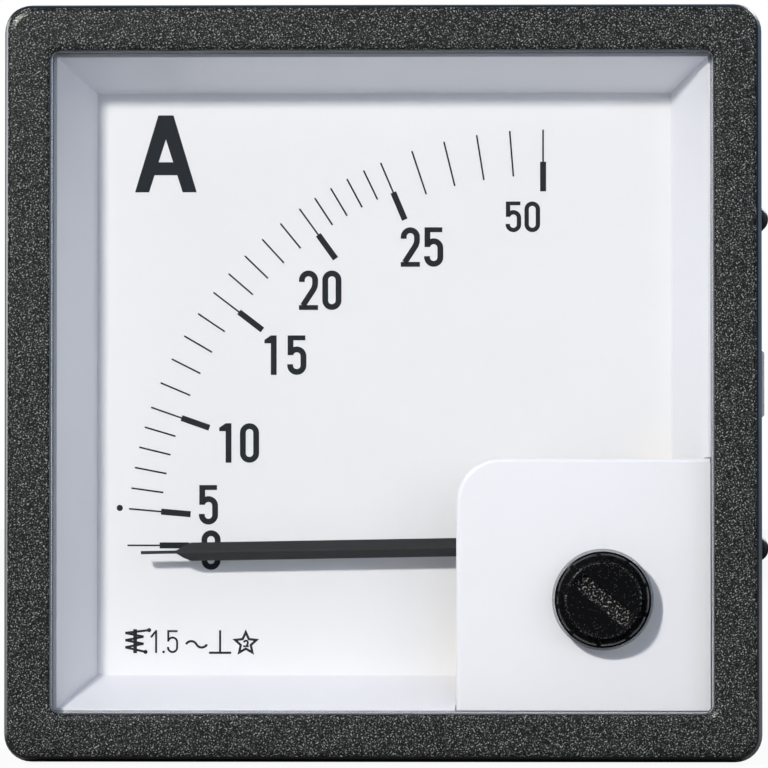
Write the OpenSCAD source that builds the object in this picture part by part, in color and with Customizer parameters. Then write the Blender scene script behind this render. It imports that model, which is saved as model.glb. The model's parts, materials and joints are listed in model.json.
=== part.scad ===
// Moving-iron panel ammeter, 72 mm square front.
// X runs to the right as the dial is read, Y runs back through the panel, Z is up.
// The origin is the centre of the bezel's rear face, which seats on the panel.

/* [Bezel] */
// Width and height of the bezel where it meets the panel
bezel_w = 72; // [71:0.5:76]
// How far the bezel stands in front of the panel
bezel_d = 5.5; // [5:0.1:7]
// Corner radius of the bezel's outline
bezel_corner_r = 2.6; // [2:0.1:4]
// Radius along the bezel's front edges
bezel_edge_r = 0.9; // [0.5:0.1:1.4]
// Narrowing of each side from the panel to the front
bezel_draft = 0.5; // [0:0.1:0.8]
// Width of the bezel's face around the window's opening
rim_w = 4.8; // [4.4:0.1:5.6]
// Thickness of the lip that holds the window in
lip_t = 0.8; // [0.7:0.1:1]
// Radius along the front edge of the window's opening
rim_edge_r = 0.65; // [0.3:0.05:0.65]

/* [Window] */
// Corner radius of the opening
window_corner_r = 1; // [0.6:0.1:1.5]
// How far the window reaches under the lip on each side
window_lap = 1; // [0.8:0.1:1.2]
// Thickness of the clear window
window_t = 2; // [1.8:0.1:2.2]

/* [Surround and dial] */
// Step in from the window's opening to the surround's front edge
surround_step = 0.4; // [0.2:0.1:1.2]
// Run of the side walls from the window in to the dial
wall_run_x = 3.2; // [2.6:0.1:4]
// Run of the upper and lower walls from the window in to the dial
wall_run_z = 2.8; // [2.4:0.1:4]
// Depth of the dial's face behind the panel plane
dial_face = 6; // [5.8:0.1:8]
// Thickness of the dial sheet
dial_t = 0.8; // [0.5:0.1:1]
// Wall of the surround at its flanges
surround_t = 1; // [0.8:0.1:1.2]

/* [Housing] */
// How far the bezel reaches beyond the body on each side
flange_lap = 2.75; // [2.5:0.05:3]
// Depth of the body behind the panel
body_d = 40; // [39:0.5:46]
// Wall of the body
body_wall = 1.6; // [1.4:0.1:1.8]
// Thickness of the body's rear wall
floor_t = 2; // [1.8:0.1:2.4]
// Chamfer around the rear wall's edges
body_chamfer = 1.2; // [0.8:0.1:1.4]
// Width of the ribs that carry the dial
rib_w = 1.2; // [1:0.1:1.6]

/* [Movement] */
// Spindle axis, in from the surround's right-hand edge
pivot_in_x = 15.5; // [15.2:0.1:16]
// Spindle axis, up from the surround's lower edge
pivot_in_z = 15.3; // [15:0.1:15.6]
// Gap left between the level pointer's tip and the dial's edge
pointer_gap = 4.4; // [3.9:0.1:8]
// Width of the pointer's bar
pointer_w = 1.76; // [1.2:0.02:2]
// Depth of the pointer's base behind the panel plane
pointer_back = 3.6; // [3.4:0.1:4]
// Height of the pointer's ridge over its base
pointer_h = 0.8; // [0.5:0.1:0.9]
// Angle by which the resting pointer hangs below level
rest_drop = 1; // [0:0.5:2]
// Radius of the spindle
spindle_r = 0.75; // [0.6:0.05:0.9]
// Diameter of the coil's copper wire
wire_d = 1.7; // [1.4:0.05:1.75]
// Turns in each of the coil's layers
coil_turns = 8; // [5:1:8]
// Turns of the hairspring
spring_turns = 4; // [3:1:5]
// Thickness of the hairspring's strip
spring_t = 0.12; // [0.1:0.01:0.16]

/* [Zero adjuster] */
// Axis of the adjuster, in from the surround's right-hand edge
adjuster_in_x = 10; // [9.6:0.1:10.3]
// Axis of the adjuster, up from the surround's lower edge
adjuster_in_z = 10.3; // [9.8:0.1:10.6]
// Radius of the adjuster's head at the window
adjuster_r = 4.55; // [4:0.05:5]
// Radius of the adjuster's flat face
adjuster_face_r = 3.55; // [3.2:0.05:3.8]
// How far the head stands in front of the window
adjuster_h = 2.3; // [1.5:0.1:2.6]
// Radius of the shank in the window
shank_r = 3.2; // [3:0.05:3.4]
// Throw of the eccentric pin
pin_throw = 1.6; // [1.2:0.1:1.8]
// Radius of the eccentric pin
pin_r = 0.6; // [0.5:0.05:0.7]
// Length of the driving slot
slot_l = 6.3; // [5:0.1:6.6]
// Width of the driving slot
slot_w = 1.55; // [1:0.05:1.8]
// Direction of the driving slot, below level to the right
slot_angle = 40; // [0:5:90]

/* [Corner mask] */
// Reach of the white mask, in from the surround's right-hand edge
mask_reach_x = 23.8; // [23.8:0.1:24.2]
// Reach of the white mask, up from the surround's lower edge
mask_reach_z = 23.6; // [23.6:0.1:23.8]
// Radius of the mask's free corner
mask_corner_r = 4.2; // [3:0.1:6]
// Thickness of the mask
mask_t = 1; // [0.8:0.1:1]

/* [Terminals] */
// Distance between the two studs
stud_pitch = 30; // [28:1:32]
// Height of the studs above centre
stud_z = 8; // [6:0.5:10]
// Radius of a stud
stud_r = 2.5; // [2:0.5:2.5]
// Reach of the studs behind the rear wall
stud_out = 15; // [14.5:0.5:20]
// Reach of the barrier ribs behind the rear wall
barrier_out = 9; // [5:0.5:11]

/* [Side clamps] */
// Height of the jack screws above and below centre
jack_z = 15.8; // [13:0.1:18]
// Radius of a jack screw
jack_r = 1.25; // [1:0.05:1.25]
// Length of a jack screw
jack_l = 34; // [32:1:38]
// Gap from the panel plane to the right-hand screws
jack_gap_right = 5; // [4.6:0.1:12]
// Gap from the panel plane to the left-hand screws
jack_gap_left = 15; // [4.6:0.1:16]
// Thickness of the clamp's sheet steel
clamp_t = 1; // [0.8:0.1:1.2]
// Outward reach of the clamp's toe from the body's side
toe_reach = 3.25; // [2.6:0.05:3.75]

/* [Hidden] */
$fn = 48;
// Clearances
slip = 0.1;
turn = 0.05;
seat = 0.03;
thread_depth = 0.26;
// Widths, from the bezel's outline inwards
body_w = bezel_w - 2 * flange_lap;
window_open = bezel_w - 2 * rim_w;
surround_open = window_open - 2 * surround_step;
dial_view_w = surround_open - 2 * wall_run_x;
dial_view_h = surround_open - 2 * wall_run_z;
// Places in the lower right-hand corner, from the surround's edges
corner = surround_open / 2;
pivot_x = corner - pivot_in_x;
pivot_z = pivot_in_z - corner;
pointer_l = pivot_x + dial_view_w / 2 - pointer_gap;
adjuster_x = corner - adjuster_in_x;
adjuster_z = adjuster_in_z - corner;
mask_left = corner - mask_reach_x;
mask_top = mask_reach_z - corner;
// Depths at the front, from the window back
front = -bezel_d;
window_front = front + lip_t;
window_back = window_front + window_t;
mask_back = window_back + mask_t;
dial_back = dial_face + dial_t;
pocket_w = window_open + 2 * window_lap + 2 * slip;
recess_w = body_w + 2 * slip;
cavity_w = body_w - 2 * body_wall;
surround_w = cavity_w - 2 * slip;
surround_corner_r = 0.8;
rib_h = 1.65;
mask_lap = 0.2;
mask_lip_t = 0.8;
mask_lip_drop = 0.7;
mask_lip_end = corner - 3.8;
pivot = [pivot_x, pivot_z];
adjuster = [adjuster_x, adjuster_z];
adjuster_rim_w = 0.2;
adjuster_rim_t = 0.35;
// Snap ridges between the body and the bezel
ridge_l = 14;
ridge_w = 0.8;
ridge_h = 0.35;
ridge_mid = window_back / 2;
// Zero lever and bridge, from the front back
lever_t = 0.4;
lever_front = -0.15;
lever_back = lever_front + lever_t;
bridge_front = lever_back + turn;
bridge_t = 1;
bridge_back = bridge_front + bridge_t;
bridge_r = 3.4;
boss_r = 2.4;
boss_front = lever_front - 0.35;
bridge_end_r = 1.9;
jewel_r = 1.2;
jewel_nut_t = 0.7;
jewel_back = bridge_back + 0.55;
cup_d = 0.55;
needle_r = 0.3;
needle_l = 0.75;
spindle_front = jewel_back + 0.25;
spring_front = spindle_front + 0.1;
spring_h = 0.4;
collet_r = 1.4;
fork = adjuster - pivot;
fork_l = norm(fork);
fork_angle = atan2(fork[1], fork[0]);
pin_reach = fork_l - pin_throw;
lever_arm_w = 3.6;
lever_ring_r = 3.9;
tab_r = 5;
tab_w = 1.6;
// Pillars stand across the line from the pivot to the adjuster
pillar_r = 1.5;
pillar_at = [[pivot_x + 10.6, pivot_z + 5.9], [pivot_x - 5.9, pivot_z - 10.6]];
pillar_screw_r = 1;
pillar_head_r = 1.8;
pillar_head_t = 1.1;
pillar_thread_l = 4.2;
jewel_nut_flats = 5;
rear_nut_flats = 4.5;
rear_nut_t = 1.2;
// Coil
bobbin_front = dial_back + 2.2;
bobbin_flange = 1;
bobbin_bore = 5.9;
bobbin_core = 6.6;
bobbin_r = 10.3;
base_front = bobbin_front + 16;
base_t = 2;
base_back = base_front + base_t;
base_half = 14.2;
base_screw = 11.8;
base_screw_r = 1.25;
base_screw_l = 8;
base_head_r = 2.2;
base_head_t = 1.5;
base_boss_r = 2.8;
winding_r = bobbin_core + slip / 2 + wire_d / 2;
coil_space = base_front - bobbin_front - 2 * bobbin_flange;
coil_pitch = min((coil_space - 2 * slip) / coil_turns, 0.98 * wire_d);
coil_front = bobbin_front + bobbin_flange + slip;
// Irons inside the coil
fixed_iron_r = bobbin_bore - seat;
iron_t = 0.5;
moving_iron_r = 4.9;
iron_front = bobbin_front + 2;
iron_back = base_front - 3;
iron_sleeve_r = 1.2;
rear_boss_r = 3;
rear_boss_front = base_front - 1.4;
rear_boss_back = base_back + 2.4;
rear_jewel_front = rear_boss_front - 1;
spindle_back = rear_jewel_front - 0.25;
// Damping chamber
chamber_in = 14.5;
chamber_out = 24.4;
chamber_wall = 1;
chamber_back = dial_back + 7.2;
chamber_lid_front = dial_back + 0.2;
chamber_lid_t = 0.4;
chamber_from = 70;
chamber_to = 200;
vane_hub_r = 1.6;
vane_front = chamber_lid_front + chamber_lid_t + 0.2;
vane_arm_t = 0.4;
vane_t = 0.3;
leg_r = 2;
leg_reach = 20;
leg_angles = [95, 175];
ear_r = 3;
// Pointer
neck_l = 1.4;
needle_bar_l = 3.4;
needle_w = 0.3;
hub_r = 1.8;
hub_back = pointer_back + 1.6;
balance_y = pointer_back + 0.9;
balance_arm_w = 0.5;
tail_weight_r = 1.34;
tail_weight_at = 5.4;
tail_weight_l = 4.4;
side_weight_r = 0.9;
side_weight_at = 4.6;
side_weight_l = 1.6;
// Terminals
floor_front = body_d - floor_t;
pad_t = 1;
pad_back = body_d + pad_t;
stud_head_t = 1.6;
stud_flats = 8;
washer_r = 5;
washer_t = 1;
lock_nut_t = 2.4;
spring_washer_t = 1.2;
nut_t = 4;
nut_flats = 8;
stud_end = body_d + stud_out;
thread_r = stud_r - thread_depth;
nuts_back = pad_back + lock_nut_t + washer_t + spring_washer_t + nut_t;
lug_t = 0.8;
lug_front = floor_front - stud_head_t - lug_t;
lead_y = lug_front - wire_d / 2;
barrier_t = 1.6;
barrier_h = 18;
barrier_gap = 10.5;
// Routes of the two leads, from the outer layer of the coil to the studs
lead_from_right = pivot + (winding_r + 0.98 * wire_d) * [cos(50), sin(50)];
lead_from_left = pivot + (winding_r + 0.98 * wire_d) * [cos(200), sin(200)];
lead_depth_right = coil_front + wire_d / 2 + (coil_turns - 1) * coil_pitch;
lead_depth_left = coil_front + wire_d / 2 + (coil_turns - 4) * coil_pitch;
lead_over = pivot_z + base_half + 3.8;
lead_beside = pivot_x - base_half - 4.6;
lead_right_route = [
    [lead_from_right[0], lead_depth_right, lead_from_right[1]],
    [lead_from_right[0], lead_depth_right, lead_over],
    [lead_from_right[0], lead_y, lead_over],
    [stud_pitch / 2, lead_y, stud_z]
];
lead_left_route = [
    [lead_from_left[0], lead_depth_left, lead_from_left[1]],
    [lead_beside, lead_depth_left, lead_from_left[1]],
    [lead_beside, lead_y, lead_from_left[1]],
    [-stud_pitch / 2, lead_y, stud_z]
];
// Side clamps
side = body_w / 2;
toe_x = side + toe_reach;
jack_x = side + clamp_t + slip + turn + jack_r;
jack_reach = jack_r + 0.7;
clamp_leg_w = 7.2;
toe_chamfer = 0.6;
clamp_bar_front = 27;
clamp_bar_back = 35;
toe_front = 5.4;
peg_r = 1.3;
peg_z = 8;
rail_h = 0.7;
rail_t = 0.8;

// Flat stock: a shape drawn in front view (X, Z), from depth a back to depth b
module slab(a, b) {
    translate([0, b, 0]) rotate([90, 0, 0]) linear_extrude(b - a) children();
}

// Turned stock about a depth-wise axis: a section drawn as (radius, depth)
module turned(at) {
    translate([at[0], 0, at[1]]) rotate([-90, 0, 0]) rotate_extrude() children();
}

// Part of a turned ring, between two front-view angles
module ring_sector(at, from, to) {
    translate([at[0], 0, at[1]]) rotate([-90, 0, 0]) rotate([0, 0, -to])
        rotate_extrude(angle = to - from) children();
}

// Round bar along the depth
module bar(at, r, a, b) {
    translate([at[0], a, at[1]]) rotate([-90, 0, 0]) cylinder(r = r, h = b - a);
}

// Rectangle with round corners
module rounded(w, h, r) {
    square([w - 2 * r, h], center = true);
    square([w, h - 2 * r], center = true);
    for (x = [-1, 1], z = [-1, 1])
        translate([x * (w / 2 - r), z * (h / 2 - r)]) circle(r);
}

// Four-sided funnel about the dial's axis, from depth a to depth b
module funnel(size_a, size_b, a, b) {
    translate([0, a, 0]) rotate([-90, 0, 0])
        linear_extrude(b - a, scale = [size_b[0] / size_a[0], size_b[1] / size_a[1]], slices = 1)
            square(size_a, center = true);
}

// Straight strip between two points of the front view
module strip(p, q, w) {
    translate(p) rotate(atan2(q[1] - p[1], q[0] - p[0])) translate([0, -w / 2]) square([norm(q - p), w]);
}

// Point at a radius and front-view angle from a centre
function around(at, r, angle) = at + r * [cos(angle), sin(angle)];

// Hexagon nut along the depth
module hex_nut(at, flats, r, a, b) {
    slab(a, b) translate(at) difference() {
        rotate(30) circle(flats / sqrt(3), $fn = 6);
        circle(r);
    }
}

// Thin section of the rounding along the opening's front edge, at an angle along its arc
module rim_edge_cut(a) {
    width = window_open + 2 * rim_edge_r * (1 - sin(a));
    depth = front + rim_edge_r * (1 - cos(a));
    slab(depth - 0.01, depth) rounded(width, width, window_corner_r + rim_edge_r * (1 - sin(a)), $fn = 32);
}

// Front bezel: drafted frame with rounded front edges
module bezel_frame() {
    half = bezel_w / 2;
    arc_y = front + bezel_edge_r;
    color("#3a3b3b") difference() {
        hull() {
            slab(-0.01, 0) rounded(bezel_w, bezel_w, bezel_corner_r, $fn = 32);
            for (a = [0 : 22.5 : 90]) {
                inset = bezel_draft + bezel_edge_r * (1 - cos(a));
                depth = arc_y - bezel_edge_r * sin(a);
                slab(depth, depth + 0.01)
                    rounded(2 * (half - inset), 2 * (half - inset), bezel_corner_r - 0.7 * inset, $fn = 32);
            }
        }
        slab(front - 1, window_front + 1) rounded(window_open, window_open, window_corner_r);
        for (a = [0 : 30 : 60]) hull() {
            rim_edge_cut(a);
            rim_edge_cut(a + 30);
        }
        slab(window_front, window_back + 1) rounded(pocket_w, pocket_w, window_corner_r);
        slab(window_back, 1) rounded(recess_w, recess_w, 1.5);
        for (turn_to = [0 : 90 : 270]) rotate([0, turn_to, 0])
            translate([recess_w / 2 - 1, ridge_mid - ridge_w / 2 - slip, -ridge_l / 2 - slip])
                cube([1 + ridge_h + slip, ridge_w + 2 * slip, ridge_l + 2 * slip]);
    }
}

// Clear moulded window with the adjuster's hole
module window() {
    w = window_open + 2 * window_lap;
    color("#dfe6ea", 0.3) slab(window_front, window_back) difference() {
        rounded(w, w, window_corner_r - slip);
        translate(adjuster) circle(shank_r + slip);
    }
}

// Outline of the mask, grown all round by a clearance
module mask_outline(grow) {
    edge = surround_open / 2 + mask_lap + grow;
    left = mask_left - grow;
    top = mask_top + grow;
    r = mask_corner_r + grow;
    translate([left + r, -edge]) square([edge - left - r, top + edge]);
    translate([left, -edge]) square([edge - left, top + edge - r]);
    translate([left + r, top - r]) circle(r);
}

// White mask over the movement, with a lip along its two free edges
module corner_mask() {
    color("#eef0f6") difference() {
        union() {
            slab(window_back, mask_back) mask_outline(0);
            slab(window_back, mask_back + mask_lip_drop) difference() {
                mask_outline(0);
                mask_outline(-mask_lip_t);
                translate([mask_lip_end, -bezel_w]) square([bezel_w, 2 * bezel_w]);
                translate([-bezel_w, -mask_lip_end - bezel_w]) square([2 * bezel_w, bezel_w]);
            }
        }
        bar(adjuster, shank_r + 0.6, window_back - 1, mask_back + 1);
    }
}

// Slotted adjuster: head, shank, snap barb and eccentric pin
module zero_adjuster() {
    base = window_front - slip;
    face = window_front - adjuster_h;
    pin = around(adjuster, pin_throw, fork_angle + 180);
    barb = shank_r + 0.3;
    side_r = adjuster_r - adjuster_rim_w;
    color("#1b1b1d") {
        difference() {
            turned(adjuster) polygon([
                [0, face], [adjuster_face_r, face], [side_r, face + 1.4], [side_r, base - adjuster_rim_t],
                [adjuster_r, base - adjuster_rim_t], [adjuster_r, base],
                [shank_r, base], [shank_r, window_back + turn], [barb, window_back + turn],
                [barb, window_back + 0.4], [shank_r - 0.2, mask_back + 0.3], [0, mask_back + 0.3]
            ]);
            translate([adjuster_x, face - 1, adjuster_z]) rotate([0, slot_angle, 0])
                translate([-slot_l / 2, 0, -slot_w / 2]) cube([slot_l, 2, slot_w]);
        }
        bar(pin, pin_r, mask_back, lever_back + slip);
    }
}

// White surround: four sloping walls between the window and the dial
module surround() {
    function side_at(y, view) = surround_open
        + (view - surround_open) * (y - window_back) / (dial_face - window_back);
    wall = 2 * surround_t;
    over = 0.5;
    color("#f2f4fa") difference() {
        union() {
            slab(window_back, window_back + surround_t) rounded(surround_w, surround_w, surround_corner_r);
            funnel([surround_w - surround_corner_r, surround_w - surround_corner_r],
                [dial_view_w + wall, dial_view_h + wall], window_back, dial_face);
            slab(dial_face - surround_t, dial_face) rounded(surround_w, surround_w, surround_corner_r);
        }
        funnel([side_at(window_back - over, dial_view_w), side_at(window_back - over, dial_view_h)],
            [side_at(dial_face + over, dial_view_w), side_at(dial_face + over, dial_view_h)],
            window_back - over, dial_face + over);
        slab(window_back - 1, mask_back + turn) mask_outline(slip);
    }
}

// Dial sheet with holes for the spindle and the two pillars
module dial_plate() {
    color("#f4f5f8") slab(dial_face, dial_back) difference() {
        rounded(surround_w, surround_w, surround_corner_r);
        translate(pivot) circle(3.2);
        for (at = pillar_at) translate(at) circle(pillar_r + 3 * slip);
    }
}

// Moulded body: tub, dial ribs, screw bosses, terminal pads and barriers, clamp rails and pegs
module rear_housing() {
    boss_at = [for (x = [-1, 1], z = [-1, 1]) pivot + base_screw * [x, z]];
    stud_at = [for (x = [-1, 1]) [x * stud_pitch / 2, stud_z]];
    color("#262729") difference() {
        union() {
            difference() {
                slab(window_back, body_d) rounded(body_w, body_w, 1.5);
                slab(window_back - 1, floor_front) rounded(cavity_w, cavity_w, surround_corner_r);
                for (turn_to = [0 : 90 : 270]) rotate([0, turn_to, 0])
                    translate([side, body_d, 0]) rotate([0, 0, 45])
                        cube([body_chamfer * sqrt(2), 4 * body_chamfer, 2 * side + 2], center = true);
            }
            for (turn_to = [0 : 90 : 270], z = [-20, 0, 20]) rotate([0, turn_to, 0])
                translate([cavity_w / 2 - rib_h, dial_back, z - rib_w / 2])
                    cube([rib_h + 0.1, floor_front - dial_back + 0.1, rib_w]);
            for (at = boss_at) bar(at, base_boss_r, base_back, floor_front + 0.1);
            for (at = stud_at) bar(at, 7, body_d - 0.1, pad_back);
            for (x = [-stud_pitch / 2 - barrier_gap, 0, stud_pitch / 2 + barrier_gap])
                slab(body_d - 0.1, body_d + barrier_out) translate([x, stud_z])
                    rounded(barrier_t, barrier_h, barrier_t / 2 - 0.01);
            for (turn_to = [0 : 90 : 270]) rotate([0, turn_to, 0])
                translate([side - 0.1, ridge_mid - ridge_w / 2, -ridge_l / 2])
                    cube([0.1 + ridge_h, ridge_w, ridge_l]);
            for (x = [-1, 1], z = [-1, 1]) {
                translate([x * side, clamp_bar_front - 20, z * (clamp_leg_w / 2 + slip + rail_t / 2)])
                    translate([-rail_h, 0, -rail_t / 2]) cube([2 * rail_h, 20 - slip, rail_t]);
                translate([x * side, (clamp_bar_front + clamp_bar_back) / 2, z * peg_z]) rotate([0, 90, 0])
                    cylinder(r = peg_r, h = 2 * (clamp_t + 0.9), center = true);
            }
        }
        for (at = stud_at) bar(at, stud_r + slip, floor_front - 1, pad_back + 1);
        for (at = boss_at) bar(at, base_screw_r + seat, base_back - 1, base_back + 7);
    }
}

// Sheet-steel clamp on the right-hand side; the left one is its mirror image
module clamp_sheet() {
    ear_back = clamp_bar_back;
    mid = (clamp_bar_front + clamp_bar_back) / 2;
    leg = clamp_leg_w / 2;
    bar_half = jack_z + jack_reach + 0.8;
    difference() {
        union() {
            translate([side, clamp_bar_front, -bar_half])
                cube([clamp_t, clamp_bar_back - clamp_bar_front, 2 * bar_half]);
            translate([side, toe_front, -leg]) cube([clamp_t, clamp_bar_front - toe_front + 1, 2 * leg]);
            slab(toe_front, toe_front + clamp_t) polygon([
                [side, -leg], [toe_x - toe_chamfer, -leg], [toe_x, -leg + toe_chamfer],
                [toe_x, leg - toe_chamfer], [toe_x - toe_chamfer, leg], [side, leg]
            ]);
            for (z = [-1, 1]) slab(ear_back - clamp_t, ear_back) translate([0, z * jack_z]) {
                translate([side, -jack_reach]) square([jack_x - side, 2 * jack_reach]);
                translate([jack_x, 0]) circle(jack_reach);
            }
        }
        for (z = [-1, 1]) {
            bar([jack_x, z * jack_z], jack_r + turn, ear_back - clamp_t - 1, ear_back + 1);
            translate([side, mid, z * peg_z]) rotate([0, 90, 0])
                cylinder(r = peg_r + slip, h = 4 * clamp_t, center = true);
        }
    }
}

module side_clamp_right() {
    color("#1d1e1f") clamp_sheet();
}

module side_clamp_left() {
    color("#1d1e1f") mirror([1, 0, 0]) clamp_sheet();
}

// Headless jack screw with a domed tip and a driving slot
module jack_screw(side_sign, level_sign, gap) {
    at = [side_sign * jack_x, level_sign * jack_z];
    tip = 0.5;
    color("#17181a") difference() {
        turned(at) polygon(concat(
            [for (a = [0 : 15 : 90]) [(jack_r - tip) + tip * sin(a), gap + tip * (1 - cos(a))]],
            [[jack_r, gap + jack_l - 0.3], [jack_r - 0.3, gap + jack_l], [0, gap + jack_l], [0, gap]]
        ));
        translate([at[0] - 2 * jack_r, gap + jack_l - 1, at[1] - 0.25]) cube([4 * jack_r, 2, 0.5]);
    }
}

module jack_screw_right_top() { jack_screw(1, 1, jack_gap_right); }
module jack_screw_right_bottom() { jack_screw(1, -1, jack_gap_right); }
module jack_screw_left_top() { jack_screw(-1, 1, jack_gap_left); }
module jack_screw_left_bottom() { jack_screw(-1, -1, jack_gap_left); }

// Brass stud with a hexagonal head inside the rear wall; inside the nuts it has its thread's mean radius
module terminal_stud(x) {
    at = [x, stud_z];
    color("#b08d3c") {
        slab(floor_front - stud_head_t, floor_front) translate(at) rotate(30)
            circle(stud_flats / sqrt(3), $fn = 6);
        turned(at) polygon([
            [0, floor_front - 0.1], [thread_r, floor_front - 0.1], [thread_r, nuts_back],
            [stud_r, nuts_back], [stud_r, stud_end - 0.5], [stud_r - 0.5, stud_end], [0, stud_end]
        ]);
    }
}

module terminal_stud_left() { terminal_stud(-stud_pitch / 2); }
module terminal_stud_right() { terminal_stud(stud_pitch / 2); }

// Thin nuts that clamp the studs to the rear wall
module stud_lock_nuts() {
    color("#b9923f") for (x = [-1, 1])
        hex_nut([x * stud_pitch / 2, stud_z], nut_flats, thread_r + seat, pad_back, pad_back + lock_nut_t);
}

// Plain washers under the cable lugs
module flat_washers() {
    a = pad_back + lock_nut_t;
    color("#c2a35a") for (x = [-1, 1])
        slab(a, a + washer_t) translate([x * stud_pitch / 2, stud_z]) difference() {
            circle(washer_r);
            circle(stud_r + slip);
        }
}

// Split spring washers
module spring_washers() {
    a = pad_back + lock_nut_t + washer_t;
    color("#6f7276") for (x = [-1, 1])
        slab(a, a + spring_washer_t) translate([x * stud_pitch / 2, stud_z]) difference() {
            circle(washer_r - 0.8);
            circle(stud_r + slip);
            rotate(70) translate([0, -0.25]) square([2 * washer_r, 0.5]);
        }
}

// Nuts that hold the cable lugs
module terminal_nuts() {
    a = pad_back + lock_nut_t + washer_t + spring_washer_t;
    color("#b9923f") for (x = [-1, 1])
        hex_nut([x * stud_pitch / 2, stud_z], nut_flats, thread_r + seat, a, a + nut_t);
}

// Moulded base that carries the coil, the pillars and the damping chamber
module movement_base() {
    color("#6b4a32") difference() {
        union() {
            slab(base_front, base_back) {
                translate(pivot) rounded(2 * base_half, 2 * base_half, 2.5);
                for (a = leg_angles) {
                    strip(pivot, around(pivot, leg_reach, a), 2 * ear_r);
                    translate(around(pivot, leg_reach, a)) circle(ear_r);
                }
            }
            bar(pivot, rear_boss_r, rear_boss_front, rear_boss_back);
        }
        bar(pivot, jewel_r + seat, rear_boss_front - 1, rear_boss_back + 1);
        for (x = [-1, 1], z = [-1, 1])
            bar(pivot + base_screw * [x, z], base_screw_r + seat, base_front - 1, base_back + 1);
        for (at = pillar_at) bar(at, pillar_screw_r + seat, base_front - 1, base_back + 1);
    }
}

// Slotted cheese-head screw pointing back from its seat
module cheese_screw(at, head_r, head_t, r, seat_y, length) {
    difference() {
        union() {
            bar(at, head_r, seat_y - head_t, seat_y);
            bar(at, r, seat_y - 0.1, seat_y + length);
        }
        translate([at[0] - 2 * head_r, seat_y - head_t - 1, at[1] - 0.25]) cube([4 * head_r, 1.5, 0.5]);
    }
}

module base_screws() {
    color("#9a9c9e") for (x = [-1, 1], z = [-1, 1])
        cheese_screw(pivot + base_screw * [x, z], base_head_r, base_head_t, base_screw_r,
            base_front, base_screw_l);
}

// Bobbin: a sleeve with two flanges
module coil_bobbin() {
    color("#d8d2bd") turned(pivot) polygon([
        [bobbin_bore, bobbin_front], [bobbin_r, bobbin_front], [bobbin_r, bobbin_front + bobbin_flange],
        [bobbin_core, bobbin_front + bobbin_flange], [bobbin_core, base_front - bobbin_flange],
        [bobbin_r, base_front - bobbin_flange], [bobbin_r, base_front], [bobbin_bore, base_front]
    ]);
}

// Two layers of heavy copper wire
module coil_winding() {
    first = coil_front + wire_d / 2;
    last = first + (coil_turns - 1) * coil_pitch;
    color("#b4622d") difference() {
        turned(pivot) {
            translate([winding_r - 0.7 * wire_d / 2, first]) square([1.7 * wire_d, last - first]);
            for (i = [0 : coil_turns - 1], layer = [0, 1])
                translate([winding_r + layer * 0.98 * wire_d, first + i * coil_pitch]) circle(wire_d / 2);
        }
        for (route = [lead_right_route, lead_left_route]) wire_run(route[0], route[1], wire_d / 2 + seat);
    }
}

// Straight piece of round wire
module wire_run(from, to, r) {
    run = to - from;
    translate(from) rotate([0, acos(run[2] / norm(run)), atan2(run[1], run[0])])
        cylinder(r = r, h = norm(run));
}

// Heavy wire along straight runs with round bends, ending in a ring lug on a stud
module coil_lead(route, stud_x) {
    r = wire_d / 2;
    lug = [stud_x, stud_z];
    color("#b4622d") {
        for (i = [0 : len(route) - 2]) wire_run(route[i], route[i + 1], r);
        for (i = [1 : len(route) - 1]) translate(route[i]) sphere(1.04 * r);
        slab(lug_front - 0.1, lug_front + lug_t) translate(lug) circle(3.6);
    }
}

module coil_lead_right() { coil_lead(lead_right_route, stud_pitch / 2); }
module coil_lead_left() { coil_lead(lead_left_route, -stud_pitch / 2); }

// Fixed iron: a curved plate in the bobbin's bore that narrows along its arc
module fixed_iron() {
    color("#84878a") difference() {
        ring_sector(pivot, -100, 38) translate([fixed_iron_r - iron_t, iron_front])
            square([iron_t, iron_back - iron_front]);
        translate([pivot_x + 8, iron_front - 5, pivot_z - 12]) rotate([38, 0, 0])
            translate([-20, -12, -6]) cube([40, 12, 30]);
    }
}

// Headless screw that holds a jewel cup; the cup opens at depth cup_y
module jewel_screw(slot_y, cup_y) {
    way = sign(cup_y - slot_y);
    difference() {
        turned(pivot) polygon([
            [0, slot_y], [jewel_r, slot_y], [jewel_r, cup_y], [0.6, cup_y], [0.1, cup_y - way * cup_d],
            [0, cup_y - way * cup_d]
        ]);
        translate([pivot_x - 2 * jewel_r, slot_y - 0.5, pivot_z - 0.2]) cube([4 * jewel_r, 1, 0.4]);
    }
}

module rear_jewel_screw() {
    color("#c9a24a") jewel_screw(rear_boss_back + 2.2, rear_jewel_front);
}

module rear_jewel_nut() {
    color("#c9a24a")
        hex_nut(pivot, rear_nut_flats, jewel_r + seat, rear_boss_back, rear_boss_back + rear_nut_t);
}

module front_jewel_screw() {
    color("#c9a24a") jewel_screw(boss_front - jewel_nut_t - 0.3, jewel_back);
}

module front_jewel_nut() {
    color("#c9a24a") hex_nut(pivot, jewel_nut_flats, jewel_r + seat, boss_front - jewel_nut_t, boss_front);
}

// Turned pillars, spigoted into the base and tapped for the bridge screws
module bridge_pillars() {
    color("#c0a050") for (at = pillar_at) difference() {
        union() {
            bar(at, pillar_r, bridge_back, base_front);
            bar(at, pillar_screw_r, base_front - 0.1, base_back);
        }
        bar(at, pillar_screw_r + seat, bridge_back - 1, bridge_back + pillar_thread_l);
    }
}

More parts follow.
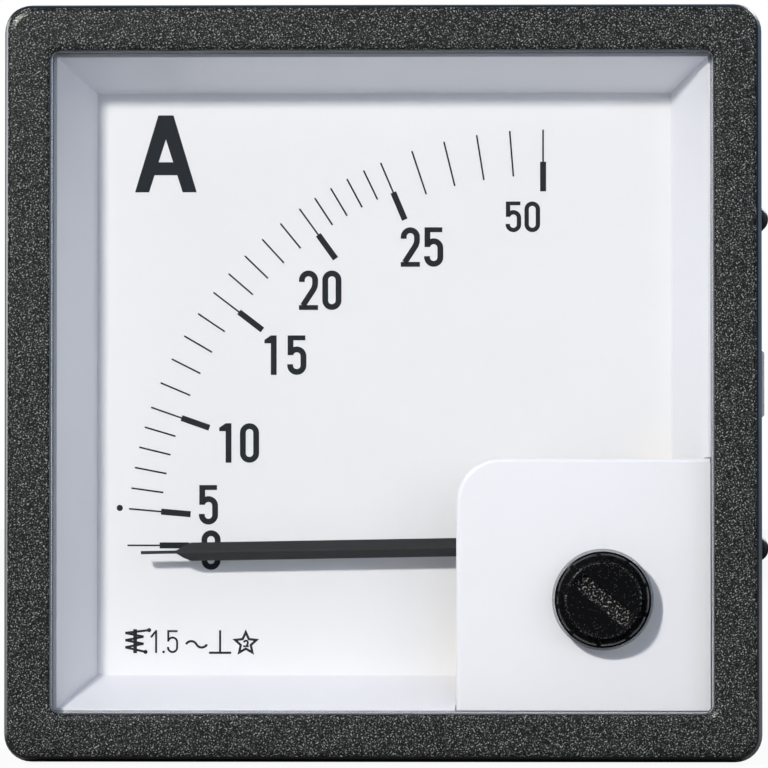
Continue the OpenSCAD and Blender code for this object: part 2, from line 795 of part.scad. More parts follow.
// Bridge across the front of the movement, with the boss that the zero lever turns on
module front_bridge() {
    color("#bfc1c4") difference() {
        union() {
            slab(bridge_front, bridge_back) {
                translate(pivot) circle(bridge_r);
                for (at = pillar_at) {
                    strip(pivot, at, 3.2);
                    translate(at) circle(bridge_end_r);
                }
            }
            bar(pivot, boss_r, boss_front, bridge_front + 0.1);
        }
        bar(pivot, jewel_r + seat, boss_front - 1, bridge_back + 1);
        for (at = pillar_at) bar(at, pillar_screw_r + seat, bridge_front - 1, bridge_back + 1);
    }
}

module bridge_screws() {
    color("#9a9c9e") for (at = pillar_at)
        cheese_screw(at, pillar_head_r, pillar_head_t, pillar_screw_r, bridge_front,
            bridge_t + pillar_thread_l - 0.2);
}

// Open sector-shaped tray in which the vane pushes air, on two legs
module damping_chamber() {
    lid_back = chamber_lid_front + chamber_lid_t;
    slot_back = vane_front + vane_arm_t + 0.6;
    inner_w = 0.7;
    color("#c8c3b0") {
        ring_sector(pivot, chamber_from, chamber_to) union() {
            translate([chamber_in, chamber_back - 1]) square([chamber_out - chamber_in, 1]);
            translate([chamber_in, slot_back]) square([inner_w, chamber_back - slot_back]);
            translate([chamber_out - chamber_wall, lid_back])
                square([chamber_wall, chamber_back - lid_back]);
        }
        for (end = [[chamber_from, chamber_from + 3], [chamber_to - 3, chamber_to]])
            ring_sector(pivot, end[0], end[1]) translate([chamber_in, lid_back])
                square([chamber_out - chamber_in, chamber_back - lid_back]);
        for (a = leg_angles) bar(around(pivot, leg_reach, a), leg_r, chamber_back - 0.1, base_front);
    }
}

module damping_lid() {
    color("#dcd8c8") ring_sector(pivot, chamber_from, chamber_to)
        translate([chamber_in, chamber_lid_front]) square([chamber_out - chamber_in, chamber_lid_t]);
}

// Lever that carries the hairspring's outer end; the eccentric pin works in its fork
module zero_lever() {
    tail = fork_angle + 180;
    color("#c9a24a") {
        slab(lever_front, lever_back) difference() {
            union() {
                translate(pivot) circle(lever_ring_r);
                strip(pivot, around(pivot, fork_l + 0.6, fork_angle), lever_arm_w);
                strip(pivot, around(pivot, tab_r + lever_t, tail), tab_w);
            }
            translate(pivot) circle(boss_r + turn);
            strip(around(pivot, pin_reach - 1.2, fork_angle), around(pivot, fork_l + 2, fork_angle),
                2 * (pin_r + slip));
        }
        slab(lever_front, spring_front + spring_h) translate(pivot) rotate(tail)
            translate([tab_r, -tab_w / 2]) square([lever_t, tab_w]);
    }
}

// Flat spiral between the collet and the lever's tab
module hairspring() {
    first = collet_r + turn;
    last = tab_r - spring_t - turn;
    tail = fork_angle + 180;
    steps = 24 * spring_turns;
    function at(i) = let (r = first + (last - first) * i / steps, a = tail - 360 * (steps - i) / 24)
        [r, a];
    inner = [for (i = [0 : steps]) at(i)[0] * [cos(at(i)[1]), sin(at(i)[1])]];
    outer = [for (i = [steps : -1 : 0]) (at(i)[0] + spring_t) * [cos(at(i)[1]), sin(at(i)[1])]];
    color("#b89b4c") slab(spring_front, spring_front + spring_h) translate(pivot)
        polygon(concat(inner, outer));
}

// Steel spindle with needle points
module spindle() {
    color("#aeb2b6") turned(pivot) polygon([
        [0, spindle_front - needle_l], [0.05, spindle_front - needle_l],
        [needle_r, spindle_front - 0.4], [needle_r, spindle_front], [spindle_r, spindle_front],
        [spindle_r, spindle_back], [needle_r, spindle_back], [needle_r, spindle_back + 0.4],
        [0.05, spindle_back + needle_l], [0, spindle_back + needle_l]
    ]);
}

module spring_collet() {
    color("#c9a24a") turned(pivot) translate([spindle_r, spring_front - 0.05])
        square([collet_r - spindle_r, spring_h + 0.1]);
}

// Everything on the spindle is drawn with the pointer level, then dropped to its rest
module at_rest() {
    translate([pivot_x, 0, pivot_z]) rotate([0, -rest_drop, 0]) children();
}

// Ridged pointer bar with a needle tip, on its hub
module pointer() {
    bar_start = (spindle_r + hub_r) / 2;
    bar_end = pointer_l - needle_bar_l - neck_l;
    half = pointer_w / 2;
    fine = needle_w / 2;
    ridge = pointer_back - pointer_h;
    needle_root = pointer_l - needle_bar_l;
    neck_mid = needle_root - neck_l / 2;
    neck_half = 0.67 * half;
    color("#232426") {
        at_rest() intersection() {
            rotate([0, -90, 0]) linear_extrude(pointer_l) polygon([
                [-half, pointer_back], [half, pointer_back], [half, pointer_back - 0.25],
                [0.1, ridge], [-0.1, ridge], [-half, pointer_back - 0.25]
            ]);
            slab(ridge - 1, pointer_back + 1) polygon([
                [-bar_start, -half], [-bar_end, -half], [-neck_mid, -neck_half], [-needle_root, -fine],
                [-pointer_l, -fine], [-pointer_l, fine], [-needle_root, fine], [-neck_mid, neck_half],
                [-bar_end, half], [-bar_start, half]
            ]);
        }
        turned(pivot) translate([spindle_r, ridge]) square([hub_r - spindle_r, hub_back - ridge]);
    }
}

// Cross of wires behind the pointer that the balance weights sit on
module balance_cross() {
    root = hub_r + seat;
    color("#9a9c9e") {
        at_rest() {
            translate([root, balance_y - balance_arm_w / 2, -balance_arm_w / 2])
                cube([tail_weight_at + tail_weight_l - root + 0.5, balance_arm_w, balance_arm_w]);
            for (z = [-1, 1]) rotate([0, -90 * z, 0])
                translate([root, balance_y - balance_arm_w / 2, -balance_arm_w / 2])
                    cube([side_weight_at + side_weight_l - root + 0.3, balance_arm_w, balance_arm_w]);
        }
        turned(pivot) translate([root, balance_y - 0.4]) square([0.5, 0.8]);
    }
}

// Weights wound on the cross: a long one on the tail and one on each side arm
module balance_weights() {
    hole = balance_arm_w / sqrt(2) + seat;
    color("#b07f3a") at_rest() {
        translate([tail_weight_at, balance_y, 0]) rotate([0, 90, 0]) difference() {
            cylinder(r = tail_weight_r, h = tail_weight_l);
            translate([0, 0, -1]) cylinder(r = hole, h = tail_weight_l + 2);
        }
        for (z = [-1, 1]) rotate([0, -90 * z, 0]) translate([side_weight_at, balance_y, 0])
            rotate([0, 90, 0]) difference() {
                cylinder(r = side_weight_r, h = side_weight_l);
                translate([0, 0, -1]) cylinder(r = hole, h = side_weight_l + 2);
            }
    }
}

// Moving iron: a curved plate on a web and sleeve
module moving_iron() {
    half_span = 24;
    color("#84878a") {
        ring_sector(pivot, rest_drop - half_span, rest_drop + half_span)
            translate([moving_iron_r - iron_t, iron_front + 0.5])
                square([iron_t, iron_back - iron_front - 1]);
        at_rest() translate([spindle_r + 0.1, iron_front + 1.5, -0.2])
            cube([moving_iron_r - iron_t / 2 - spindle_r, iron_back - iron_front - 3, 0.4]);
        turned(pivot) translate([spindle_r, iron_front + 1]) square([iron_sleeve_r - spindle_r, 2]);
    }
}

// Light vane that sweeps the damping chamber, on an arm beside the pointer
module damping_vane() {
    tip = chamber_out - chamber_wall - 0.5;
    root = chamber_in + 1.5;
    depth = chamber_back - 1 - 0.4 - vane_front;
    color("#d3d5d8") {
        at_rest() {
            translate([-tip, vane_front, -0.6]) cube([tip - vane_hub_r + 0.1, vane_arm_t, 1.2]);
            translate([-tip, vane_front, -vane_t / 2]) cube([tip - root, depth, vane_t]);
        }
        turned(pivot) translate([spindle_r, vane_front - 0.2]) square([vane_hub_r - spindle_r, 1.3]);
    }
}

bezel_frame();
window();
corner_mask();
zero_adjuster();
surround();
dial_plate();
rear_housing();
side_clamp_right();
side_clamp_left();
jack_screw_right_top();
jack_screw_right_bottom();
jack_screw_left_top();
jack_screw_left_bottom();
terminal_stud_left();
terminal_stud_right();
stud_lock_nuts();
flat_washers();
spring_washers();
terminal_nuts();
movement_base();
base_screws();
coil_bobbin();
coil_winding();
coil_lead_left();
coil_lead_right();
fixed_iron();
rear_jewel_screw();
rear_jewel_nut();
bridge_pillars();
front_bridge();
bridge_screws();
front_jewel_screw();
front_jewel_nut();
damping_chamber();
damping_lid();
zero_lever();
hairspring();
spindle();
spring_collet();
pointer();
balance_cross();
balance_weights();
moving_iron();
damping_vane();
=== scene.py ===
"""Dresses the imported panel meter: finishes, printed dial, clear window, fastenings, light and camera."""

import json
import logging
import math
from dataclasses import dataclass
from enum import Enum
from typing import Any, Callable, Dict, List, Optional, Sequence, Tuple, Union

import bmesh
import bpy
from mathutils import Matrix, Vector


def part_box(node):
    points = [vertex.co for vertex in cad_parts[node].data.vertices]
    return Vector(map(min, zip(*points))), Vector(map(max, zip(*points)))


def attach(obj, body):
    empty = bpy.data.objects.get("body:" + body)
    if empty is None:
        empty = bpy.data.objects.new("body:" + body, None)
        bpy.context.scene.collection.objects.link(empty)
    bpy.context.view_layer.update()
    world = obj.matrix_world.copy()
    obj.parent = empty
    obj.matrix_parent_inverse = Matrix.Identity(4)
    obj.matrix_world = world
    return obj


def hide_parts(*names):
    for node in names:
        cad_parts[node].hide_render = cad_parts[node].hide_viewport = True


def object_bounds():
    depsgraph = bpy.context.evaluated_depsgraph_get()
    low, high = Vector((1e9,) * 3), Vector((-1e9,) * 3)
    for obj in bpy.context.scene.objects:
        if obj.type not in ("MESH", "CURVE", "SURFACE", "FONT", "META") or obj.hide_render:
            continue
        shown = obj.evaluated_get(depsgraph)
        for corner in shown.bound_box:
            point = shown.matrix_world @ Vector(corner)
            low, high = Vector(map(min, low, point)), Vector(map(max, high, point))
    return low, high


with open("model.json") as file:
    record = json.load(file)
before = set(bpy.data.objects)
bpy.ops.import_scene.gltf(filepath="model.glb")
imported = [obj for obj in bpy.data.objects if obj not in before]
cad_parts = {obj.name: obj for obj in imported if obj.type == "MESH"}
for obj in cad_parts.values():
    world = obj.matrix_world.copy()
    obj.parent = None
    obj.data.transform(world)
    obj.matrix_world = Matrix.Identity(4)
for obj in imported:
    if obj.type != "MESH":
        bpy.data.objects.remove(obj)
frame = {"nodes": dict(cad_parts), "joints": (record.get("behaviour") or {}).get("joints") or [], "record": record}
CAD_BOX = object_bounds()

log = logging.getLogger("panel_meter")
MM = 0.001
Colour = Tuple[float, float, float]
Point = Tuple[float, float]


class Body(Enum):
    """The rigid body that the new pieces ride on."""

    METER = "meter_body"


class Slot(Enum):
    """Names of the record's material slots, passed along with new pieces."""

    CLEAR = "clear_plastic"
    DIAL = "white_enamel"


# ---------------------------------------------------------------- node sheets


class Number:
    """A number socket. Python's operators on it add Math nodes."""

    def __init__(self, sheet: "NodeSheet", socket: bpy.types.NodeSocket) -> None:
        """Keeps the sheet and the socket."""
        self.sheet = sheet
        self.socket = socket

    def _math(self, operation: str, first: Any, second: Any) -> "Number":
        """Adds one Math node.

        Args:
            operation: the node's operation.
            first: its first number or socket.
            second: its second number or socket.

        Returns:
            The result as a Number.
        """
        node = self.sheet.node("ShaderNodeMath", {"operation": operation}, {0: first, 1: second})
        return Number(self.sheet, node.outputs[0])

    def __add__(self, other: Any) -> "Number":
        """Adds."""
        return self._math("ADD", self, other)

    def __radd__(self, other: Any) -> "Number":
        """Adds, number first."""
        return self._math("ADD", other, self)

    def __sub__(self, other: Any) -> "Number":
        """Subtracts."""
        return self._math("SUBTRACT", self, other)

    def __rsub__(self, other: Any) -> "Number":
        """Subtracts from a number."""
        return self._math("SUBTRACT", other, self)

    def __mul__(self, other: Any) -> "Number":
        """Multiplies."""
        return self._math("MULTIPLY", self, other)

    def __rmul__(self, other: Any) -> "Number":
        """Multiplies, number first."""
        return self._math("MULTIPLY", other, self)


class NodeSheet:
    """A node tree with one method that adds any node."""

    def __init__(self, tree: bpy.types.NodeTree) -> None:
        """Takes an emptied tree."""
        self.tree = tree
        self.tree.nodes.clear()

    def node(
        self,
        kind: str,
        settings: Optional[Dict[str, Any]] = None,
        sockets: Optional[Dict[Union[int, str], Any]] = None,
    ) -> bpy.types.Node:
        """Adds a node, makes its settings, then fills its sockets.

        Args:
            kind: the node's type.
            settings: its properties by name.
            sockets: values or links by socket name or index.

        Returns:
            The node.
        """
        node = self.tree.nodes.new(kind)
        for key, value in (settings or {}).items():
            setattr(node, key, value)
        for key, value in (sockets or {}).items():
            self._fill(node.inputs[key], value)
        return node

    def _fill(self, socket: bpy.types.NodeSocket, value: Any) -> None:
        """Links or sets one socket.

        Args:
            socket: the input.
            value: a Number, an output socket, a number, a colour or a vector.
        """
        if isinstance(value, Number):
            value = value.socket
        if isinstance(value, bpy.types.NodeSocket):
            self.tree.links.new(value, socket)
        elif socket.type == "RGBA" and len(value) == 3:
            socket.default_value = (*value, 1.0)
        else:
            socket.default_value = value


class MaterialSheet(NodeSheet):
    """The node tree of one material, with the textures that the finishes share."""

    def __init__(self, name: str) -> None:
        """Makes an empty material of that name."""
        self.material = bpy.data.materials.new(name)
        self.material.use_nodes = True
        super().__init__(self.material.node_tree)
        self.output = self.node("ShaderNodeOutputMaterial")
        self.place = self.node("ShaderNodeTexCoord").outputs["Object"]

    def axis(self, name: str) -> Number:
        """One coordinate of the place, X, Y or Z, in metres."""
        return Number(self, self.node("ShaderNodeSeparateXYZ", None, {0: self.place}).outputs[name])

    def stretched(self, scale: Tuple[float, float, float], turn: float = 0.0) -> bpy.types.NodeSocket:
        """The place, scaled per axis.

        Args:
            scale: factor along X, Y and Z.
            turn: rotation about Y first, in degrees.

        Returns:
            The vector socket.
        """
        return self.node(
            "ShaderNodeMapping", {"vector_type": "POINT"},
            {"Vector": self.place, "Scale": scale, "Rotation": (0.0, math.radians(turn), 0.0)},
        ).outputs[0]

    def noise(self, size: float, detail: float = 2.0, rough: float = 0.5,
              place: Optional[bpy.types.NodeSocket] = None) -> Number:
        """Noise of about that size.

        Args:
            size: width of one blotch, in metres.
            detail: finer layers.
            rough: strength of the finer layers.
            place: vector to read instead of the plain place.

        Returns:
            A Number from 0 to 1.
        """
        node = self.node(
            "ShaderNodeTexNoise", None,
            {"Vector": place or self.place, "Scale": 1.0 / size, "Detail": detail, "Roughness": rough},
        )
        return Number(self, node.outputs[0])

    def cells(self, size: float) -> Tuple[Number, Number]:
        """Scattered cells.

        Args:
            size: distance between cells, in metres.

        Returns:
            The distance to the nearest centre in cell widths, and a random number for each cell.
        """
        node = self.node("ShaderNodeTexVoronoi", None, {"Vector": self.place, "Scale": 1.0 / size})
        split = self.node("ShaderNodeSeparateColor", None, {0: node.outputs["Color"]})
        return Number(self, node.outputs["Distance"]), Number(self, split.outputs[0])

    def between(self, value: Number, low: float, high: float) -> Number:
        """A smooth step.

        Args:
            value: the number to test.
            low: where the step starts, at 0.
            high: where it ends, at 1; below low for a falling step.

        Returns:
            A Number from 0 to 1.
        """
        node = self.node(
            "ShaderNodeMapRange", {"interpolation_type": "SMOOTHSTEP", "clamp": True},
            {"Value": value, "From Min": low, "From Max": high},
        )
        return Number(self, node.outputs[0])

    def blend(self, share: Any, first: Any, second: Any) -> bpy.types.NodeSocket:
        """Mixes two colours.

        Args:
            share: how much of the second.
            first: a colour or its socket.
            second: a colour or its socket.

        Returns:
            The colour socket.
        """
        return self.node(
            "ShaderNodeMix", {"data_type": "RGBA", "blend_type": "MIX"}, {0: share, 6: first, 7: second}
        ).outputs[2]

    def bump(self, height: Number, depth: float, strength: float = 1.0) -> bpy.types.NodeSocket:
        """A bumped normal.

        Args:
            height: the height map.
            depth: real height of one unit, in metres.
            strength: share of the effect.

        Returns:
            The normal socket.
        """
        return self.node(
            "ShaderNodeBump", None, {"Height": height, "Distance": depth, "Strength": strength}
        ).outputs[0]

    def surface(self, sockets: Dict[Union[int, str], Any]) -> bpy.types.Material:
        """Closes the sheet with one Principled shader.

        Args:
            sockets: the shader's values or links.

        Returns:
            The material.
        """
        shader = self.node("ShaderNodeBsdfPrincipled", None, sockets)
        self.tree.links.new(shader.outputs[0], self.output.inputs[0])
        return self.material


# ------------------------------------------------------------------ finishes


def shade(colour: Colour, factor: float) -> Colour:
    """The colour, lighter or darker by a factor."""
    return tuple(factor * part for part in colour)


@dataclass(frozen=True)
class Finish:
    """What every finish has: a name, a colour and a roughness."""

    name: str
    colour: Colour
    roughness: float = 0.4

    def material(self) -> bpy.types.Material:
        """Builds the finish's material."""
        sheet = MaterialSheet(self.name)
        blotch = sheet.noise(4 * MM, 3.0)
        rough = blotch * 0.12 + (self.roughness - 0.06)
        return sheet.surface({
            "Base Color": self.colour, "Roughness": rough,
            "Normal": sheet.bump(sheet.noise(0.3 * MM), 0.002 * MM),
        })


@dataclass(frozen=True)
class GrainedPlastic(Finish):
    """Black plastic from a spark-eroded mould: dark pits between pale crests, with pale specks painted into the
    colour as glints; smooth next to its edges.
    """

    crest: Colour = (0.048, 0.05, 0.048)
    # colour of the painted glints
    painted_glint: Colour = (0.44, 0.45, 0.44)
    grain: float = 0.18 * MM
    grain_depth: float = 0.0

    def material(self) -> bpy.types.Material:
        """Builds the grained material."""
        sheet = MaterialSheet(self.name)
        pits = sheet.noise(self.grain, 1.0, 0.6)
        sparkle = sheet.noise(0.8 * self.grain, 0.0, 0.5, sheet.stretched((1.0, 1.0, 1.0), 31.0))
        rough_skin = sheet.between(sheet.axis("Y"), self.grain_depth + 0.12 * MM, self.grain_depth)
        crest = sheet.between(pits, 0.44, 0.72) * rough_skin
        # painted glints: sparse pale specks in the base colour
        painted_glint = sheet.between(sparkle, 0.54, 0.92) * rough_skin
        drift = sheet.noise(13 * MM, 2.0)
        base = sheet.blend(drift, self.colour, shade(self.colour, 1.6))
        colour = sheet.blend(painted_glint, sheet.blend(crest, base, self.crest), self.painted_glint)
        return sheet.surface({
            "Base Color": colour,
            "Roughness": self.roughness - crest * 0.15,
            "Specular IOR Level": 0.16,
            "Coat Weight": (1.0 - rough_skin) * 0.6, "Coat Roughness": 0.28,
            "Normal": sheet.bump((pits * 0.6 + sparkle * 0.4) * rough_skin, 0.015 * MM),
        })


@dataclass(frozen=True)
class MouldedPlastic(Finish):
    """Satin moulded plastic with faint flow marks and an eroded micro-texture."""

    texture: float = 0.16 * MM
    relief: float = 0.006 * MM

    def material(self) -> bpy.types.Material:
        """Builds the moulded material."""
        sheet = MaterialSheet(self.name)
        flow = sheet.noise(14 * MM, 3.0, 0.55, sheet.stretched((1.0, 0.35, 1.0)))
        skin = sheet.noise(self.texture, 2.0)
        colour = sheet.blend(flow, shade(self.colour, 0.88), shade(self.colour, 1.12))
        return sheet.surface({
            "Base Color": colour,
            "Roughness": flow * 0.12 + skin * 0.08 + (self.roughness - 0.1),
            "Normal": sheet.bump(skin, self.relief),
        })


@dataclass(frozen=True)
class SpeckledGloss(Finish):
    """Polished black plastic with faint dust specks and a rough floor in its slot; pale flecks painted on the slot
    floor stand for glints, and a dotted ring of them at the face's edge is a painted highlight.
    """

    speck: Colour = (0.07, 0.07, 0.068)
    # colour of the painted glints and of the painted highlight at the face's edge
    painted_fleck_colour: Colour = (0.4, 0.4, 0.39)
    centre: Point = (0.0, 0.0)
    floor_depth: float = 0.0
    slot_reach: float = 3.3 * MM
    face_reach: float = 3.5 * MM

    def material(self) -> bpy.types.Material:
        """Builds the polished material."""
        sheet = MaterialSheet(self.name)
        reach, chance = sheet.cells(0.15 * MM)
        dust = sheet.between(reach, 0.4, 0.15) * sheet.between(chance, 0.7, 0.9)
        across, up = [sheet.axis(name) - at for name, at in zip("XZ", self.centre)]
        square = across * across + up * up
        inner = sheet.between(square, self.slot_reach ** 2, 0.9 * self.slot_reach ** 2)
        deep = sheet.between(sheet.axis("Y"), self.floor_depth - 0.2 * MM, self.floor_depth - 0.1 * MM)
        floor = inner * deep
        edge = sheet.between(square, (self.face_reach - 0.2 * MM) ** 2, self.face_reach ** 2)
        # a ring at the face's edge that takes a painted highlight
        painted_rim_highlight = edge * sheet.between(square, (self.face_reach + 0.25 * MM) ** 2, self.face_reach ** 2)
        flecks = sheet.noise(0.2 * MM, 1.0)
        # pale flecks: painted glints on the slot floor and a painted highlight on the face's edge
        painted_flecks = sheet.between(flecks, 0.54, 0.72) * floor + sheet.between(flecks, 0.5, 0.8) * painted_rim_highlight * 0.4
        colour = sheet.blend(painted_flecks, sheet.blend(dust, self.colour, self.speck), self.painted_fleck_colour)
        smear = sheet.noise(1.6 * MM, 3.0, 0.6)
        return sheet.surface({
            "Base Color": colour,
            "Roughness": self.roughness + smear * 0.08 + floor * 0.2,
            "Specular IOR Level": 0.07,
            "Normal": sheet.bump(flecks * (floor * 8.0 + 1.0), 0.003 * MM),
        })


@dataclass(frozen=True)
class ClearPlastic(Finish):
    """Clear polished plastic: seen through, with reflections that grow at a slant."""

    body: float = 0.0
    index: float = 1.32

    def material(self) -> bpy.types.Material:
        """Builds the clear material."""
        sheet = MaterialSheet(self.name)
        gloss = Number(sheet, sheet.node("ShaderNodeFresnel", None, {"IOR": self.index}).outputs[0])
        haze = sheet.noise(18 * MM, 2.0)
        return sheet.surface({
            "Base Color": self.colour,
            "Roughness": haze * 0.02 + self.roughness,
            "Metallic": 1.0,
            "Alpha": gloss + self.body,
        })


@dataclass(frozen=True)
class ThreadedMetal(Finish):
    """Metal rod with a screw thread about its own axis, from a helical bump, with painted shade in the thread's
    grooves.
    """

    axis: Point = (0.0, 0.0)
    pitch: float = 0.0

    def material(self) -> bpy.types.Material:
        """Builds the threaded material."""
        sheet = MaterialSheet(self.name)
        away = [sheet.axis(name) - at for name, at in zip("XZ", self.axis)]
        turn = sheet.node("ShaderNodeMath", {"operation": "ARCTAN2"}, {0: away[1], 1: away[0]})
        climb = sheet.axis("Y") * (1.0 / self.pitch) + Number(sheet, turn.outputs[0]) * (0.5 / math.pi)
        ramp = sheet.node("ShaderNodeMath", {"operation": "PINGPONG"}, {0: climb, 1: 0.5})
        thread = Number(sheet, ramp.outputs[0])
        oil = sheet.noise(1.5 * MM, 3.0)
        return sheet.surface({
            # painted shade: the colour falls to 0.4 of itself in the thread's grooves
            "Base Color": sheet.blend(thread * 1.6, shade(self.colour, 0.4), self.colour),
            "Metallic": 1.0, "Roughness": oil * 0.15 + self.roughness,
            "Normal": sheet.bump(thread, 0.5 * self.pitch, 0.9),
        })


@dataclass(frozen=True)
class WhitePlastic(Finish):
    """White moulded plastic with a soft sheen."""

    def material(self) -> bpy.types.Material:
        """Builds the white material."""
        sheet = MaterialSheet(self.name)
        cloud = sheet.noise(16 * MM, 2.0)
        skin = sheet.noise(0.25 * MM, 2.0)
        colour = sheet.blend(cloud, self.colour, shade(self.colour, 0.975))
        return sheet.surface({
            "Base Color": colour,
            "Roughness": skin * 0.08 + self.roughness,
            "Normal": sheet.bump(skin, 0.002 * MM),
        })


@dataclass(frozen=True)
class DialEnamel(Finish):
    """Matt white enamel on sheet, with a barely uneven coat."""

    def material(self) -> bpy.types.Material:
        """Builds the enamel."""
        sheet = MaterialSheet(self.name)
        coat = sheet.noise(11 * MM, 3.0, 0.6)
        red, green, blue = self.colour
        colour = sheet.blend(coat, self.colour, (0.985 * red, 0.985 * green, blue))
        return sheet.surface({
            "Base Color": colour, "Roughness": self.roughness,
            "Normal": sheet.bump(sheet.noise(0.35 * MM, 2.0), 0.0015 * MM),
        })


@dataclass(frozen=True)
class Ink(Finish):
    """Printing ink or paint with a slightly uneven density."""

    sheen: float = 0.08

    def material(self) -> bpy.types.Material:
        """Builds the ink."""
        sheet = MaterialSheet(self.name)
        weight = sheet.noise(0.5 * MM, 3.0, 0.6)
        colour = sheet.blend(weight, self.colour, shade(self.colour, 1.35))
        return sheet.surface({
            "Base Color": colour, "Roughness": weight * 0.15 + self.roughness,
            "Specular IOR Level": self.sheen,
        })


@dataclass(frozen=True)
class Metal(Finish):
    """Bare or plated metal with drawn or turned marks and faint staining."""

    stain: Colour = (0.5, 0.45, 0.4)
    marks: Tuple[float, float, float] = (1.0, 12.0, 1.0)
    stained: float = 0.3

    def material(self) -> bpy.types.Material:
        """Builds the metal."""
        sheet = MaterialSheet(self.name)
        drawn = sheet.noise(1.2 * MM, 4.0, 0.65, sheet.stretched(self.marks))
        cloud = sheet.noise(3.5 * MM, 3.0, 0.6)
        tint = sheet.between(cloud, 0.5, 0.75) * self.stained
        return sheet.surface({
            "Base Color": sheet.blend(tint, self.colour, self.stain),
            "Metallic": 1.0,
            "Roughness": drawn * 0.2 + cloud * 0.1 + (self.roughness - 0.12),
            "Normal": sheet.bump(drawn, 0.006 * MM, 0.8),
        })


@dataclass(frozen=True)
class WireEnamel(Finish):
    """Enamelled copper wire: warm metal under a clear varnish coat."""

    def material(self) -> bpy.types.Material:
        """Builds the varnished copper."""
        sheet = MaterialSheet(self.name)
        cloud = sheet.noise(2.0 * MM, 3.0)
        return sheet.surface({
            "Base Color": sheet.blend(cloud, self.colour, shade(self.colour, 0.75)),
            "Metallic": 1.0, "Roughness": cloud * 0.15 + self.roughness,
            "Coat Weight": 0.6, "Coat Roughness": 0.12,
        })


BEZEL_GRAIN = GrainedPlastic(
    "bezel_grain", (0.005, 0.0052, 0.0054), 0.3, grain_depth=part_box("bezel_frame")[0].y + 0.25 * MM)
TUB_PLASTIC = MouldedPlastic("tub_plastic", (0.016, 0.016, 0.0175), 0.46)
WINDOW_CLEAR = ClearPlastic("window_clear", (0.95, 0.97, 0.99), 0.04)
BEAD_CLEAR = ClearPlastic("bead_clear", (0.62, 0.66, 0.72), 0.12, body=0.35)
SURROUND_WHITE = WhitePlastic("surround_white", (0.797, 0.806, 0.861), 0.42)
MASK_WHITE = WhitePlastic("mask_white", (0.778, 0.778, 0.827), 0.45)
DIAL_ENAMEL = DialEnamel("dial_enamel", (0.767, 0.77, 0.793), 0.62)
DIAL_INK = Ink("dial_ink", (0.0125, 0.0145, 0.0175), 0.5)
POINTER_PAINT = Ink("pointer_paint", (0.02, 0.021, 0.021), 0.36, sheen=0.25)
ZINC = Metal("zinc_plate", (0.62, 0.63, 0.64), 0.36, stain=(0.66, 0.62, 0.5))
STEEL = Metal("ground_steel", (0.6, 0.61, 0.62), 0.26)
OXIDE_BLACK = (0.05, 0.05, 0.055)
IRON = Metal("annealed_iron", (0.33, 0.33, 0.34), 0.5, stain=(0.22, 0.19, 0.17), stained=0.6)
BRASS = Metal("turned_brass", (0.78, 0.58, 0.27), 0.28, stain=(0.55, 0.38, 0.16), stained=0.5)
BRONZE = Metal("spring_bronze", (0.72, 0.5, 0.27), 0.25)
ALUMINIUM = Metal("plain_aluminium", (0.8, 0.81, 0.82), 0.34, stain=(0.7, 0.7, 0.7))
PHENOLIC = MouldedPlastic("brown_phenolic", (0.12, 0.055, 0.03), 0.4)
NYLON = MouldedPlastic("natural_nylon", (0.68, 0.62, 0.48), 0.38)
COPPER = WireEnamel("copper_wire", (0.72, 0.27, 0.12), 0.3)


# ------------------------------------------------------------------- workshop


def middle(node: str) -> Vector:
    """The middle of a CAD node's box."""
    low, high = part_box(node)
    return (low + high) / 2


def threaded(node: str, plating: str, colour: Colour, roughness: float, pitch: float) -> ThreadedMetal:
    """A finish with a screw thread about a node's own axis.

    Args:
        node: the CAD node.
        plating: the end of the finish's name.
        colour: its colour.
        roughness: its roughness.
        pitch: the thread's pitch, in metres.

    Returns:
        The finish.
    """
    axis = middle(node)
    return ThreadedMetal(f"{node}_{plating}", colour, roughness, (axis.x, axis.z), pitch)


